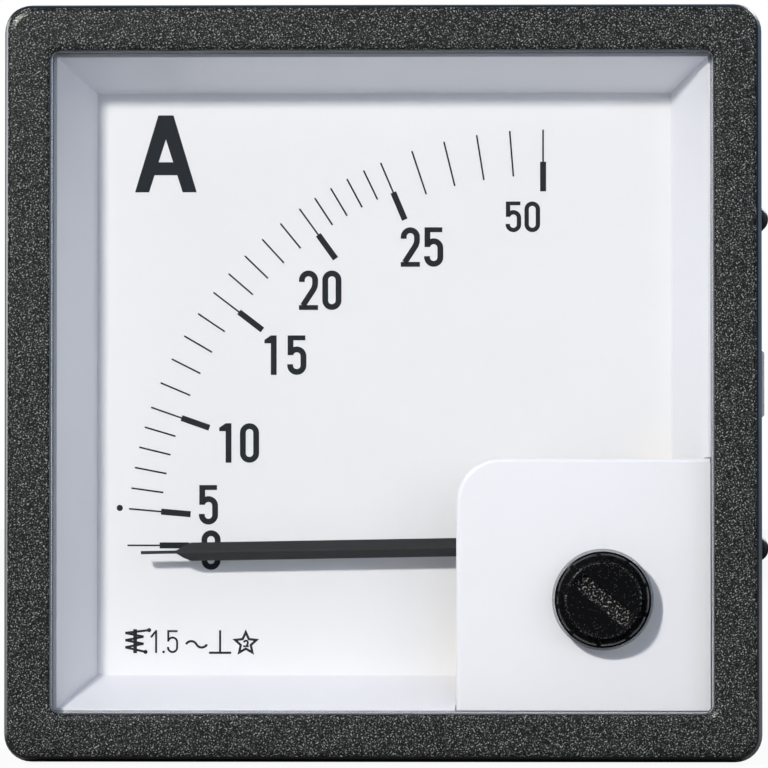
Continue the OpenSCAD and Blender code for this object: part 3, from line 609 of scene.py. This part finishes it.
class Workshop:
    """Turns meshes into finished pieces on the CAD bodies."""

    def __init__(self, nodes: Dict[str, bpy.types.Object], record: Dict[str, Any]) -> None:
        """Keeps the CAD nodes and finds which body each one is on."""
        self.nodes = nodes
        groups = record["behaviour"]["bodies"]
        self.body_of = {node: body for body, members in groups.items() for node in members}
        self.slot_of = {part["node"]: part["material_slot"] for part in record["subparts"]}
        self._made: Dict[str, bpy.types.Material] = {}

    def material(self, finish: Finish) -> bpy.types.Material:
        """The finish's material, built once."""
        if finish.name not in self._made:
            self._made[finish.name] = finish.material()
        return self._made[finish.name]

    def dress(self, finish: Finish, *names: str) -> None:
        """Gives CAD nodes a finish.

        Args:
            finish: the finish.
            names: the nodes.
        """
        for name in names:
            data = self.nodes[name].data
            data.materials.clear()
            data.materials.append(self.material(finish))
            log.info("dressed %s in %s", name, finish.name)

    def piece(self, mesh: bmesh.types.BMesh, name: str, body: str, finish: Finish, slot: str,
              crease: float = 32.0) -> bpy.types.Object:
        """Makes an object of a finished bmesh and rides it on a body.

        Args:
            mesh: the bmesh, in the row frame, in metres; it is freed.
            name: the piece's name.
            body: the CAD body's name.
            finish: its finish.
            slot: the record's slot that the finish belongs to; not used.
            crease: edges sharper than this many degrees stay sharp.

        Returns:
            The object.
        """
        for face in mesh.faces:
            face.smooth = len(face.verts) <= 4
        for edge in mesh.edges:
            edge.smooth = len(edge.link_faces) == 2 and edge.calc_face_angle(0.0) < math.radians(crease)
        data = bpy.data.meshes.new(name)
        mesh.to_mesh(data)
        mesh.free()
        made = bpy.data.objects.new(name, data)
        bpy.context.scene.collection.objects.link(made)
        data.materials.append(self.material(finish))
        level = made.modifiers.new("level_faces", "WEIGHTED_NORMAL")
        level.mode, level.weight, level.keep_sharp = "FACE_AREA", 60, True
        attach(made, body)
        log.info("built %s on %s: %d faces", name, body, len(data.polygons))
        return made

    def softened(self, node: str, finish: Finish, width: float, segments: int = 2,
                 angle: float = 38.0, at: Callable[[Vector], bool] = lambda point: True,
                 back_gap: float = 0.0) -> bpy.types.Object:
        """Replaces a CAD node by a copy of it with rounded edges.

        Args:
            node: the CAD node.
            finish: its finish.
            width: how far each rounding reaches from the edge, in metres.
            segments: faces across each rounding.
            angle: edges sharper than this many degrees are rounded.
            at: says of an edge's middle whether that edge is rounded.
            back_gap: how far the back face is drawn in, to part it from the piece it touches.

        Returns:
            The new object.
        """
        mesh = bmesh.new()
        mesh.from_mesh(self.nodes[node].data)
        bmesh.ops.remove_doubles(mesh, verts=mesh.verts, dist=1e-7)
        bmesh.ops.dissolve_limit(
            mesh, angle_limit=math.radians(0.6), verts=mesh.verts, edges=mesh.edges,
            use_dissolve_boundaries=False, delimit=set(),
        )
        limit = math.radians(angle)
        sharp = [e for e in mesh.edges if len(e.link_faces) == 2 and e.calc_face_angle(0.0) > limit]
        edges = [e for e in sharp if at((e.verts[0].co + e.verts[1].co) / 2)]
        bmesh.ops.bevel(
            mesh, geom=edges, offset=width, offset_type="OFFSET", segments=segments, profile=0.5,
            affect="EDGES", clamp_overlap=True, material=-1,
        )
        back = max(vert.co.y for vert in mesh.verts)
        for vert in [v for v in mesh.verts if v.co.y > back - 1e-6]:
            vert.co.y -= back_gap
        made = self.piece(mesh, "soft_" + node, self.body_of[node], finish, self.slot_of[node])
        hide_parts(node)
        return made


# ----------------------------------------------------------------- dial print


class Nib:
    """A flat pen: a straight edge swept along lines and arcs, in a flat X-Y sheet that faces +Z."""

    def __init__(self, mesh: bmesh.types.BMesh, at: Point, heading: float, width: float) -> None:
        """Sets the nib down.

        Args:
            mesh: the sheet.
            at: the middle of the nib.
            heading: direction of travel, in degrees from +X.
            width: the stroke's width.
        """
        self.mesh = mesh
        self.at = Vector((*at, 0.0))
        self.heading = math.radians(heading)
        side = self._across() * (width / 2)
        ends = [mesh.verts.new(self.at + side), mesh.verts.new(self.at - side)]
        self.edge = mesh.edges.new(ends)

    def _across(self) -> Vector:
        """Unit vector to the left of travel."""
        return Vector((-math.sin(self.heading), math.cos(self.heading), 0.0))

    def line(self, length: float) -> "Nib":
        """Draws straight on for a length and returns the nib."""
        step = Vector((math.cos(self.heading), math.sin(self.heading), 0.0)) * length
        grown = bmesh.ops.extrude_edge_only(self.mesh, edges=[self.edge])["geom"]
        verts = [g for g in grown if isinstance(g, bmesh.types.BMVert)]
        bmesh.ops.translate(self.mesh, verts=verts, vec=step)
        self.edge = next(e for e in self.mesh.edges if set(e.verts) == set(verts))
        self.at = self.at + step
        return self

    def arc(self, radius: float, turn: float) -> "Nib":
        """Draws an arc.

        Args:
            radius: of the stroke's middle.
            turn: degrees, positive to the left.

        Returns:
            The nib.
        """
        side = math.copysign(1.0, turn)
        centre = self.at + self._across() * (radius * side)
        swing = math.radians(turn)
        spun = bmesh.ops.spin(
            self.mesh, geom=[*self.edge.verts, self.edge], cent=centre, axis=(0.0, 0.0, 1.0),
            angle=swing, steps=max(3, round(abs(turn) / 9)), use_merge=False, use_duplicate=False,
        )["geom_last"]
        self.edge = next(g for g in spun if isinstance(g, bmesh.types.BMEdge))
        self.at = centre + Matrix.Rotation(swing, 3, "Z") @ (self.at - centre)
        self.heading += swing
        return self


@dataclass
class Lettering:
    """Condensed grotesque figures drawn with one nib."""

    height: float
    width: float
    stroke: float
    bar: float

    def draw(self, mesh: bmesh.types.BMesh, text: str, gap: float) -> None:
        """Draws a row of figures centred on the sheet's origin.

        Args:
            mesh: the sheet.
            text: figures among 0, 1, 2 and 5.
            gap: space between figures.
        """
        shapes = {"0": self.zero, "1": self.one, "2": self.two, "5": self.five}
        widths = [self.width * (0.64 if sign == "1" else 1.0) for sign in text]
        x = -(sum(widths) + gap * (len(text) - 1)) / 2
        for sign, width in zip(text, widths):
            before = set(mesh.verts)
            shapes[sign](mesh)
            new = [v for v in mesh.verts if v not in before]
            bmesh.ops.translate(mesh, verts=new, vec=(x, -self.height / 2, 0.0))
            x += width + gap

    def zero(self, mesh: bmesh.types.BMesh) -> None:
        """A closed round-ended loop."""
        turn = (self.width - self.stroke) / 2
        straight = self.height - self.width
        nib = Nib(mesh, (self.stroke / 2, self.height / 2), 90, self.stroke)
        nib.line(straight / 2).arc(turn, -180).line(straight).arc(turn, -180).line(straight / 2)

    def one(self, mesh: bmesh.types.BMesh) -> None:
        """A stem with a short flag."""
        right = 0.64 * self.width
        left = right - self.stroke
        Nib(mesh, (right - self.stroke / 2, 0.0), 90, self.stroke).line(self.height)
        top, drop = self.height, 0.2 * self.height
        patch(mesh, [(left, top - drop), (left, top), (0.0, top - 0.11 * self.height), (0.0, top - drop)])

    def two(self, mesh: bmesh.types.BMesh) -> None:
        """A hook, a slanting neck and a foot."""
        turn = (self.width - self.stroke) / 2
        lip = 0.29 * self.height - self.width / 2
        nib = Nib(mesh, (self.stroke / 2, 0.71 * self.height), 90, self.stroke)
        nib.line(lip).arc(turn, -180).line(0.075 * self.height).arc(0.32 * self.height, -33)
        nib.line((nib.at.y - 0.9 * self.bar) / math.sin(math.radians(57)))
        Nib(mesh, (0.0, self.bar / 2), 0, self.bar).line(self.width)

    def five(self, mesh: bmesh.types.BMesh) -> None:
        """A bar, a stem and a round-ended bowl."""
        turn = (self.width - self.stroke) / 2
        waist, crown, stem = 0.27 * self.height, 0.72 * self.height, 0.5 * self.height
        nib = Nib(mesh, (self.stroke / 2, waist), -90, self.stroke)
        nib.line(waist - self.width / 2).arc(turn, 180).line(crown - self.width).arc(turn, 162)
        Nib(mesh, (self.stroke / 2 + 0.02 * self.width, stem), 90, self.stroke).line(
            self.height - self.bar - stem)
        Nib(mesh, (0.02 * self.width, self.height - self.bar / 2), 0, self.bar).line(0.93 * self.width)


def patch(mesh: bmesh.types.BMesh, corners: Sequence[Point]) -> bmesh.types.BMFace:
    """A flat face on the sheet.

    Args:
        mesh: the sheet.
        corners: its corners in order.

    Returns:
        The face.
    """
    face = mesh.faces.new([mesh.verts.new((x, y, 0.0)) for x, y in corners])
    face.normal_update()
    return face


def trace(mesh: bmesh.types.BMesh, points: Sequence[Point], width: float) -> None:
    """Draws a thin line through points.

    Args:
        mesh: the sheet.
        points: the corners of the line.
        width: its width.
    """
    for (x0, y0), (x1, y1) in zip(points, points[1:]):
        run = Vector((x1 - x0, y1 - y0))
        heading = math.degrees(math.atan2(run.y, run.x))
        Nib(mesh, (x0, y0), heading, width).line(run.length)


@dataclass
class ScaleStep:
    """A stretch of the scale: its first reading, the angles of its ends and its divisions."""

    first: float
    start: float
    end: float
    parts: int


@dataclass
class DialPrint:
    """Everything printed on the dial: marks, figures, unit and the small signs."""

    shop: Workshop
    pivot: Point
    face: float
    outer: float = 40.0
    inner: float = 36.9
    far_inner: float = 35.6
    major_inner: float = 34.05
    thin: float = 0.16
    thick: float = 0.58
    film: float = 0.02
    range_start: float = 5.05

    def build(self) -> None:
        """Prints each group as its own piece."""
        self._print("scale_marks", self._marks())
        figures = Lettering(height=3.8, width=1.84, stroke=0.56, bar=0.47)
        end_figures = Lettering(height=2.95, width=1.5, stroke=0.42, bar=0.36)
        rows = [
            ("5", -16.9, -11.6, 0.0, figures), ("10", -13.95, -5.65, 0.82, figures),
            ("15", -9.5, 2.8, 1.02, figures), ("20", -6.15, 9.05, 0.41, figures),
            ("25", 3.65, 13.2, 0.41, figures), ("50", 13.35, 16.1, 0.32, end_figures),
            ("0", -16.65, -15.95, 0.0, figures),
        ]
        for text, x, z, gap, style in rows:
            sheet = bmesh.new()
            style.draw(sheet, text, gap)
            self._print("figure_" + text, sheet, (x, z))
        self._print("unit_letter", self._unit(), (-21.03, 18.5))
        self._print("movement_sign", self._movement_sign(), (-23.95, -24.7))
        self._print("accuracy_class", self._accuracy(), (-20.65, -24.75))
        self._print("current_sign", self._wave(), (-18.05, -24.85))
        self._print("position_sign", self._upright(), (-15.77, -25.93))
        self._print("test_star", self._star(), (-13.3, -24.92))

    def _print(self, name: str, sheet: bmesh.types.BMesh, at: Point = (0.0, 0.0)) -> None:
        """Gives a sheet its film thickness and lays it on the dial.

        Args:
            name: the piece's name.
            sheet: flat faces, in millimetres; it is freed.
            at: where the sheet's origin goes on the dial.
        """
        bmesh.ops.remove_doubles(sheet, verts=sheet.verts, dist=1e-4)
        for face in sheet.faces:
            face.normal_update()
            if face.normal.z < 0:
                face.normal_flip()
        grown = bmesh.ops.extrude_face_region(sheet, geom=list(sheet.faces), use_keep_orig=True)["geom"]
        lifted = [g for g in grown if isinstance(g, bmesh.types.BMVert)]
        bmesh.ops.translate(sheet, verts=lifted, vec=(0.0, 0.0, self.film))
        bmesh.ops.recalc_face_normals(sheet, faces=sheet.faces)
        place = Matrix.Translation((at[0] * MM, self.face, at[1] * MM))
        bmesh.ops.transform(
            sheet, matrix=place @ Matrix.Rotation(math.radians(90), 4, "X") @ Matrix.Scale(MM, 4),
            verts=sheet.verts)
        self.shop.piece(sheet, name, Body.METER.value, DIAL_INK, Slot.DIAL.value)

    def _radial(self, sheet: bmesh.types.BMesh, angle: float, far: float, near: float, width: float) -> None:
        """One mark towards the pivot.

        Args:
            sheet: the sheet.
            angle: degrees up from the left.
            far: its outer radius.
            near: its inner radius.
            width: its width.
        """
        out = Vector((-math.cos(math.radians(angle)), math.sin(math.radians(angle))))
        at = Vector(self.pivot) + out * far
        Nib(sheet, (at.x, at.y), -angle, width).line(far - near)

    def _marks(self) -> bmesh.types.BMesh:
        """All scale marks and the dot at the start of the effective range."""
        sheet = bmesh.new()
        stretches = [
            ScaleStep(0, 0.0, self.range_start, 1), ScaleStep(5, self.range_start, 19.4, 5),
            ScaleStep(10, 19.4, 37.5, 5), ScaleStep(15, 37.5, 54.1, 5),
            ScaleStep(20, 54.1, 67.0, 5), ScaleStep(25, 67.0, 90.0, 5),
        ]
        for stretch in stretches:
            near = self.far_inner if stretch.first >= 25 else self.inner
            for part in range(1, stretch.parts):
                angle = stretch.start + (stretch.end - stretch.start) * part / stretch.parts
                self._radial(sheet, angle, self.outer, near, self.thin)
        for angle in [stretches[0].start] + [stretch.end for stretch in stretches]:
            self._radial(sheet, angle, self.outer, self.inner, self.thin)
            self._radial(sheet, angle, self.inner, self.major_inner, self.thick)
        start = math.radians(self.range_start)
        dot = Vector(self.pivot) + Vector((-math.cos(start), math.sin(start))) * (self.outer + 0.9)
        bmesh.ops.create_circle(
            sheet, cap_ends=True, segments=24, radius=0.3, matrix=Matrix.Translation((*dot, 0.0)))
        return sheet

    def _unit(self) -> bmesh.types.BMesh:
        """The unit's capital letter: its left half, mirrored; the origin is under its middle."""
        sheet = bmesh.new()
        middle, height, foot, top = 2.975, 7.42, 1.36, 0.73
        notch, low, high = 5.1, 1.65, 2.9
        slope = (middle - foot) / notch
        foot_edge = [(foot + slope * z - middle, z) for z in (0.0, low, high)]
        points = [(-middle, 0.0), *foot_edge, (0.0, notch), (0.0, height), (-top, height)]
        leg = [sheet.verts.new((x, y, 0.0)) for x, y in points]
        sheet.faces.new(leg)
        bar = [sheet.verts.new((0.0, z, 0.0)) for z in (low, high)]
        sheet.faces.new([leg[2], bar[0], bar[1], leg[3]])
        bmesh.ops.mirror(
            sheet, geom=[*sheet.verts, *sheet.edges, *sheet.faces], merge_dist=1e-4, axis="X")
        return sheet

    def _movement_sign(self) -> bmesh.types.BMesh:
        """The moving-iron sign: an upright core with a zigzag coil."""
        sheet = bmesh.new()
        Nib(sheet, (0.0, -1.16), 90, 0.36).line(2.3)
        turns = [
            (1.35, 1.05), (-0.95, 0.78), (0.82, 0.42), (-0.95, 0.08),
            (0.82, -0.26), (-0.95, -0.6), (1.0, -1.04)]
        trace(sheet, turns, 0.22)
        for end in (turns[0], turns[-1]):
            bmesh.ops.create_circle(
                sheet, cap_ends=True, segments=12, radius=0.2, matrix=Matrix.Translation((*end, 0.0)))
        return sheet

    def _accuracy(self) -> bmesh.types.BMesh:
        """The accuracy class, one and a half."""
        sheet = bmesh.new()
        Lettering(height=2.2, width=1.07, stroke=0.2, bar=0.19).five(sheet)
        bmesh.ops.translate(sheet, verts=sheet.verts, vec=(-0.23, -1.1, 0.0))
        Nib(sheet, (-1.28, -1.1), 90, 0.2).line(2.2)
        trace(sheet, [(-1.36, 0.95), (-1.78, 0.4)], 0.2)
        Nib(sheet, (-0.56, -1.1), 90, 0.22).line(0.22)
        return sheet

    def _wave(self) -> bmesh.types.BMesh:
        """The alternating-current sign."""
        sheet = bmesh.new()
        Nib(sheet, (-1.0, -0.16), 62, 0.22).arc(0.57, -124).arc(0.57, 124)
        return sheet

    def _upright(self) -> bmesh.types.BMesh:
        """The sign for use with the dial upright; its origin is the foot's middle."""
        sheet = bmesh.new()
        Nib(sheet, (-1.07, 0.11), 0, 0.22).line(2.14)
        Nib(sheet, (0.0, 0.22), 90, 0.2).line(2.05)
        return sheet

    def _star(self) -> bmesh.types.BMesh:
        """The insulation test star with its small figure."""
        sheet = bmesh.new()
        radii = [1.36, 0.64]
        points = []
        for tip in range(10):
            angle = math.radians(90 + 36 * tip)
            points.append((radii[tip % 2] * math.cos(angle), radii[tip % 2] * math.sin(angle)))
        face = patch(sheet, points)
        bmesh.ops.inset_region(
            sheet, faces=[face], thickness=0.23, use_even_offset=True, use_boundary=True)
        bmesh.ops.delete(sheet, geom=[face], context="FACES")
        before = set(sheet.verts)
        Lettering(height=0.72, width=0.54, stroke=0.19, bar=0.17).two(sheet)
        new = [v for v in sheet.verts if v not in before]
        bmesh.ops.translate(sheet, verts=new, vec=(-0.25, -0.36, 0.0))
        return sheet


# --------------------------------------------------------------- front pieces


def rounded_ring(mesh: bmesh.types.BMesh, half: float, radius: float, y: float,
                 steps: int = 8) -> List[bmesh.types.BMEdge]:
    """A square loop with round corners, in the X-Z plane.

    Args:
        mesh: the bmesh.
        half: half its width.
        radius: its corner radius.
        y: its depth.
        steps: edges in each corner.

    Returns:
        The loop's edges.
    """
    turn = Matrix.Rotation(math.radians(90), 4, "X") @ Matrix.Rotation(math.radians(45 / (steps + 1)), 4, "Z")
    verts = bmesh.ops.create_circle(mesh, segments=4 * (steps + 1), radius=radius, matrix=turn)["verts"]
    for x in (-1, 1):
        for z in (-1, 1):
            corner = [v for v in verts if v.co.x * x > 0 and v.co.z * z > 0]
            bmesh.ops.translate(mesh, verts=corner, vec=(x * (half - radius), y, z * (half - radius)))
    ring = set(verts)
    return [e for e in mesh.edges if set(e.verts) <= ring]


@dataclass
class WindowBead:
    """The clear window's moulded rim and its round seat for the adjuster."""

    shop: Workshop
    opening: float
    face: float
    rise: float = 0.22 * MM
    width: float = 0.26 * MM
    corner: float = 0.35 * MM

    def build(self, centre: Vector, radius: float) -> None:
        """Builds the rim along the opening and the ring round the adjuster.

        Args:
            centre: the adjuster's centre.
            radius: the adjuster's radius at the window.
        """
        mesh = bmesh.new()
        rings = [
            rounded_ring(mesh, self.opening, self.corner, self.face),
            rounded_ring(mesh, self.opening, self.corner, self.face - self.rise),
            rounded_ring(mesh, self.opening - 0.3 * self.width, self.corner, self.face - 1.15 * self.rise),
            rounded_ring(mesh, self.opening - 0.7 * self.width, self.corner, self.face - 0.8 * self.rise),
            rounded_ring(mesh, self.opening - self.width, self.corner, self.face),
        ]
        for outer, inner in zip(rings, rings[1:] + rings[:1]):
            bmesh.ops.bridge_loops(mesh, edges=outer + inner)
        bmesh.ops.recalc_face_normals(mesh, faces=mesh.faces)
        self.shop.piece(mesh, "window_rim", Body.METER.value, BEAD_CLEAR, Slot.CLEAR.value, 60)
        seat = bmesh.new()
        start = [seat.verts.new((radius + d * MM, self.face - h * MM, 0.0)) for d, h in (
            (0.02, 0.0), (0.02, 0.14), (0.1, 0.2), (0.2, 0.12), (0.24, 0.0))]
        chain = [seat.edges.new(pair) for pair in zip(start, start[1:] + start[:1])]
        bmesh.ops.spin(
            seat, geom=start + chain, cent=(0.0, 0.0, 0.0), axis=(0.0, 1.0, 0.0), angle=2 * math.pi,
            steps=64, use_merge=True, use_duplicate=False)
        bmesh.ops.recalc_face_normals(seat, faces=seat.faces)
        bmesh.ops.translate(seat, verts=seat.verts, vec=(centre.x, 0.0, centre.z))
        self.shop.piece(seat, "adjuster_seat", Body.METER.value, BEAD_CLEAR, Slot.CLEAR.value, 60)


@dataclass
class Front:
    """The front: bezel, window, surround, dial, mask, pointer and adjuster."""

    shop: Workshop
    pivot: Point
    slot_depth: float = 1.0 * MM
    window_lip: float = 1.0 * MM
    mask_gap: float = 0.03 * MM

    def build(self) -> None:
        """Dresses the front nodes and adds the print and the window's rim."""
        self.shop.dress(BEZEL_GRAIN, "bezel_frame")
        self.shop.softened(
            "window", WINDOW_CLEAR, 0.1 * MM, 1, at=lambda p: False, back_gap=self.mask_gap)
        self.shop.dress(SURROUND_WHITE, "surround")
        self.shop.dress(DIAL_ENAMEL, "dial_plate")
        low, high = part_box("corner_mask")
        inset = (high - low) * 0.3
        self.shop.softened(
            "corner_mask", MASK_WHITE, 0.35 * MM, 3,
            at=lambda p: p.y < low.y + 0.1 * MM and (p.x < low.x + inset.x or p.z > high.z - inset.z))
        self.shop.dress(POINTER_PAINT, "pointer")
        low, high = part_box("zero_adjuster")
        centre = middle("zero_adjuster")
        gloss = SpeckledGloss(
            "knob_gloss", (0.004, 0.004, 0.0045), 0.12,
            centre=(centre.x, centre.z), floor_depth=low.y + self.slot_depth)
        self.shop.softened("zero_adjuster", gloss, 0.16 * MM, 3, 30)
        DialPrint(self.shop, self.pivot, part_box("dial_plate")[0].y).build()
        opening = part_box("window")[1].x - self.window_lip
        WindowBead(self.shop, opening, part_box("window")[0].y).build(centre, (high.x - low.x) / 2)


# ---------------------------------------------------------------- rear pieces


@dataclass
class Rear:
    """The rear: tub, clamps, jack screws and terminals."""

    shop: Workshop
    stud_pitch: float = 0.8 * MM
    jack_pitch: float = 0.45 * MM

    def build(self) -> None:
        """Dresses and details the rear nodes."""
        self.shop.softened("rear_housing", TUB_PLASTIC, 0.25 * MM, 2, 60)
        for side in ("left", "right"):
            self.shop.softened("side_clamp_" + side, ZINC, 0.12 * MM)
            stud = "terminal_stud_" + side
            self.shop.dress(threaded(stud, "brass", BRASS.colour, BRASS.roughness, self.stud_pitch), stud)
            for level in ("top", "bottom"):
                jack = f"jack_screw_{side}_{level}"
                self.shop.dress(threaded(jack, "oxide", OXIDE_BLACK, 0.35, self.jack_pitch), jack)
        self.shop.softened("stud_lock_nuts", BRASS, 0.2 * MM)
        self.shop.softened("terminal_nuts", BRASS, 0.2 * MM)
        self.shop.softened("flat_washers", BRASS, 0.12 * MM)
        self.shop.softened("spring_washers", ZINC, 0.12 * MM)


@dataclass
class Movement:
    """The moving-iron movement inside."""

    shop: Workshop

    def build(self) -> None:
        """Dresses the movement's nodes."""
        dress = self.shop.dress
        dress(PHENOLIC, "movement_base")
        dress(NYLON, "coil_bobbin", "damping_chamber", "damping_lid")
        dress(COPPER, "coil_winding", "coil_lead_left", "coil_lead_right")
        dress(IRON, "fixed_iron", "moving_iron")
        dress(ZINC, "base_screws", "bridge_screws")
        dress(BRASS, "rear_jewel_screw", "rear_jewel_nut", "front_jewel_screw", "front_jewel_nut",
              "bridge_pillars", "zero_lever", "spring_collet", "balance_weights")
        dress(BRONZE, "hairspring")
        dress(STEEL, "spindle", "balance_cross")
        dress(ALUMINIUM, "front_bridge", "damping_vane")


# --------------------------------------------------------------------- studio


@dataclass
class Studio:
    """Pale floor, white surroundings, soft lamps and the camera."""

    low: Vector
    front: float
    distance: float = 0.5
    width: float = 72.18 * MM
    eye: Point = (11.0 * MM, -11.1 * MM)
    aim: Point = (0.24 * MM, -0.23 * MM)
    ambient: Colour = (0.6, 0.85, 1.25)
    ambient_level: float = 0.18

    def build(self) -> None:
        """Builds the studio."""
        self._world()
        self._floor()
        neutral, cool = (1.0, 1.0, 1.0), (0.9, 1.0, 1.1)
        self._lamp("key_lamp", Vector((-0.27, -0.64, 0.27)), (0.05, 0.05), 4.84, (1.0, 0.98, 0.92))
        self._lamp("front_fill", Vector((0.55, -0.65, 0.1)), (0.35, 0.35), 0.95, cool)
        self._lamp("side_strip", Vector((0.18, -0.6, -0.02)), (0.1, 0.7), 0.5, neutral)
        self._lamp("back_lamp", Vector((0.45, 0.75, 0.5)), (0.35, 0.35), 6.0, neutral)
        self._lamp("back_fill", Vector((-0.75, 0.45, 0.2)), (0.5, 0.5), 4.0, neutral)
        self._camera()

    def _world(self) -> None:
        """White to look at, a soft sky light otherwise."""
        world = bpy.data.worlds.new("studio")
        bpy.context.scene.world = world
        world.use_nodes = True
        sheet = NodeSheet(world.node_tree)
        path = sheet.node("ShaderNodeLightPath")
        rays = [Number(sheet, path.outputs[name]) for name in ("Is Camera Ray", "Is Transmission Ray")]
        seen = sheet.node("ShaderNodeMath", {"operation": "MINIMUM"}, {0: rays[0] + rays[1], 1: 1.0})
        light = sheet.node("ShaderNodeBackground", None, {0: self.ambient, 1: self.ambient_level})
        white = sheet.node("ShaderNodeBackground", None, {0: (1.0, 1.0, 1.0), 1: 1.0})
        mixed = sheet.node(
            "ShaderNodeMixShader", None, {0: seen.outputs[0], 1: light.outputs[0], 2: white.outputs[0]})
        output = sheet.node("ShaderNodeOutputWorld")
        sheet.tree.links.new(mixed.outputs[0], output.inputs[0])

    def _floor(self) -> None:
        """A wide pale floor under the meter."""
        mesh = bmesh.new()
        place = Matrix.Translation((0.0, 0.0, self.low.z - 0.05 * MM))
        bmesh.ops.create_grid(mesh, x_segments=1, y_segments=1, size=4.0, matrix=place)
        data = bpy.data.meshes.new("floor")
        mesh.to_mesh(data)
        mesh.free()
        floor = bpy.data.objects.new("floor", data)
        bpy.context.scene.collection.objects.link(floor)
        sheet = MaterialSheet("floor_white")
        path = sheet.node("ShaderNodeLightPath")
        camera = Number(sheet, path.outputs["Is Camera Ray"])
        tone = sheet.blend(camera, (0.16, 0.16, 0.16), (0.9, 0.9, 0.9))
        lit = sheet.node("ShaderNodeBsdfPrincipled", None, {"Base Color": tone, "Roughness": 0.9})
        glow = sheet.node("ShaderNodeEmission", None, {0: (1.0, 1.0, 1.0), 1: 1.0})
        mixed = sheet.node(
            "ShaderNodeMixShader", None, {0: camera * 0.93, 1: lit.outputs[0], 2: glow.outputs[0]})
        sheet.tree.links.new(mixed.outputs[0], sheet.output.inputs[0])
        data.materials.append(sheet.material)

    def _lamp(self, name: str, at: Vector, size: Point, power: float, colour: Colour) -> None:
        """A soft lamp aimed at the meter's front.

        Args:
            name: the lamp's name.
            at: where it stands from the front's centre, in metres.
            size: its width and height.
            power: in watts.
            colour: its colour.
        """
        data = bpy.data.lights.new(name, "AREA")
        data.shape = "RECTANGLE"
        data.size, data.size_y = size
        data.energy = power
        data.color = colour
        lamp = bpy.data.objects.new(name, data)
        bpy.context.scene.collection.objects.link(lamp)
        lamp.location = Vector((0.0, self.front, 0.0)) + at
        lamp.rotation_mode = "QUATERNION"
        lamp.rotation_quaternion = (-at).to_track_quat("-Z", "Y")

    def _camera(self) -> None:
        """A long lens a little right of and below the meter's centre."""
        data = bpy.data.cameras.new("camera")
        data.sensor_width = 36.0
        data.lens = data.sensor_width * self.distance / self.width
        camera = bpy.data.objects.new("camera", data)
        bpy.context.scene.collection.objects.link(camera)
        target = Vector((self.aim[0], self.front, self.aim[1]))
        camera.location = Vector((self.eye[0], self.front - self.distance, self.eye[1]))
        camera.rotation_mode = "QUATERNION"
        camera.rotation_quaternion = (target - camera.location).to_track_quat("-Z", "Y")
        data.clip_start, data.clip_end = 0.01, 20.0
        bpy.context.scene.camera = camera


def main() -> None:
    """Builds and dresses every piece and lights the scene."""
    logging.basicConfig(level=logging.INFO, format="%(name)s: %(message)s")
    shop = Workshop(frame["nodes"], frame["record"])
    swing = next(j for j in frame["joints"] if j["name"] == "pointer_swing")
    pivot = (swing["pos_m"][0] / MM, swing["pos_m"][2] / MM)
    Movement(shop).build()
    Rear(shop).build()
    Front(shop, pivot).build()
    Studio(CAD_BOX[0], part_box("bezel_frame")[0].y).build()
    bpy.context.scene.view_settings.view_transform = "Standard"


if __name__ == "__main__":
    main()
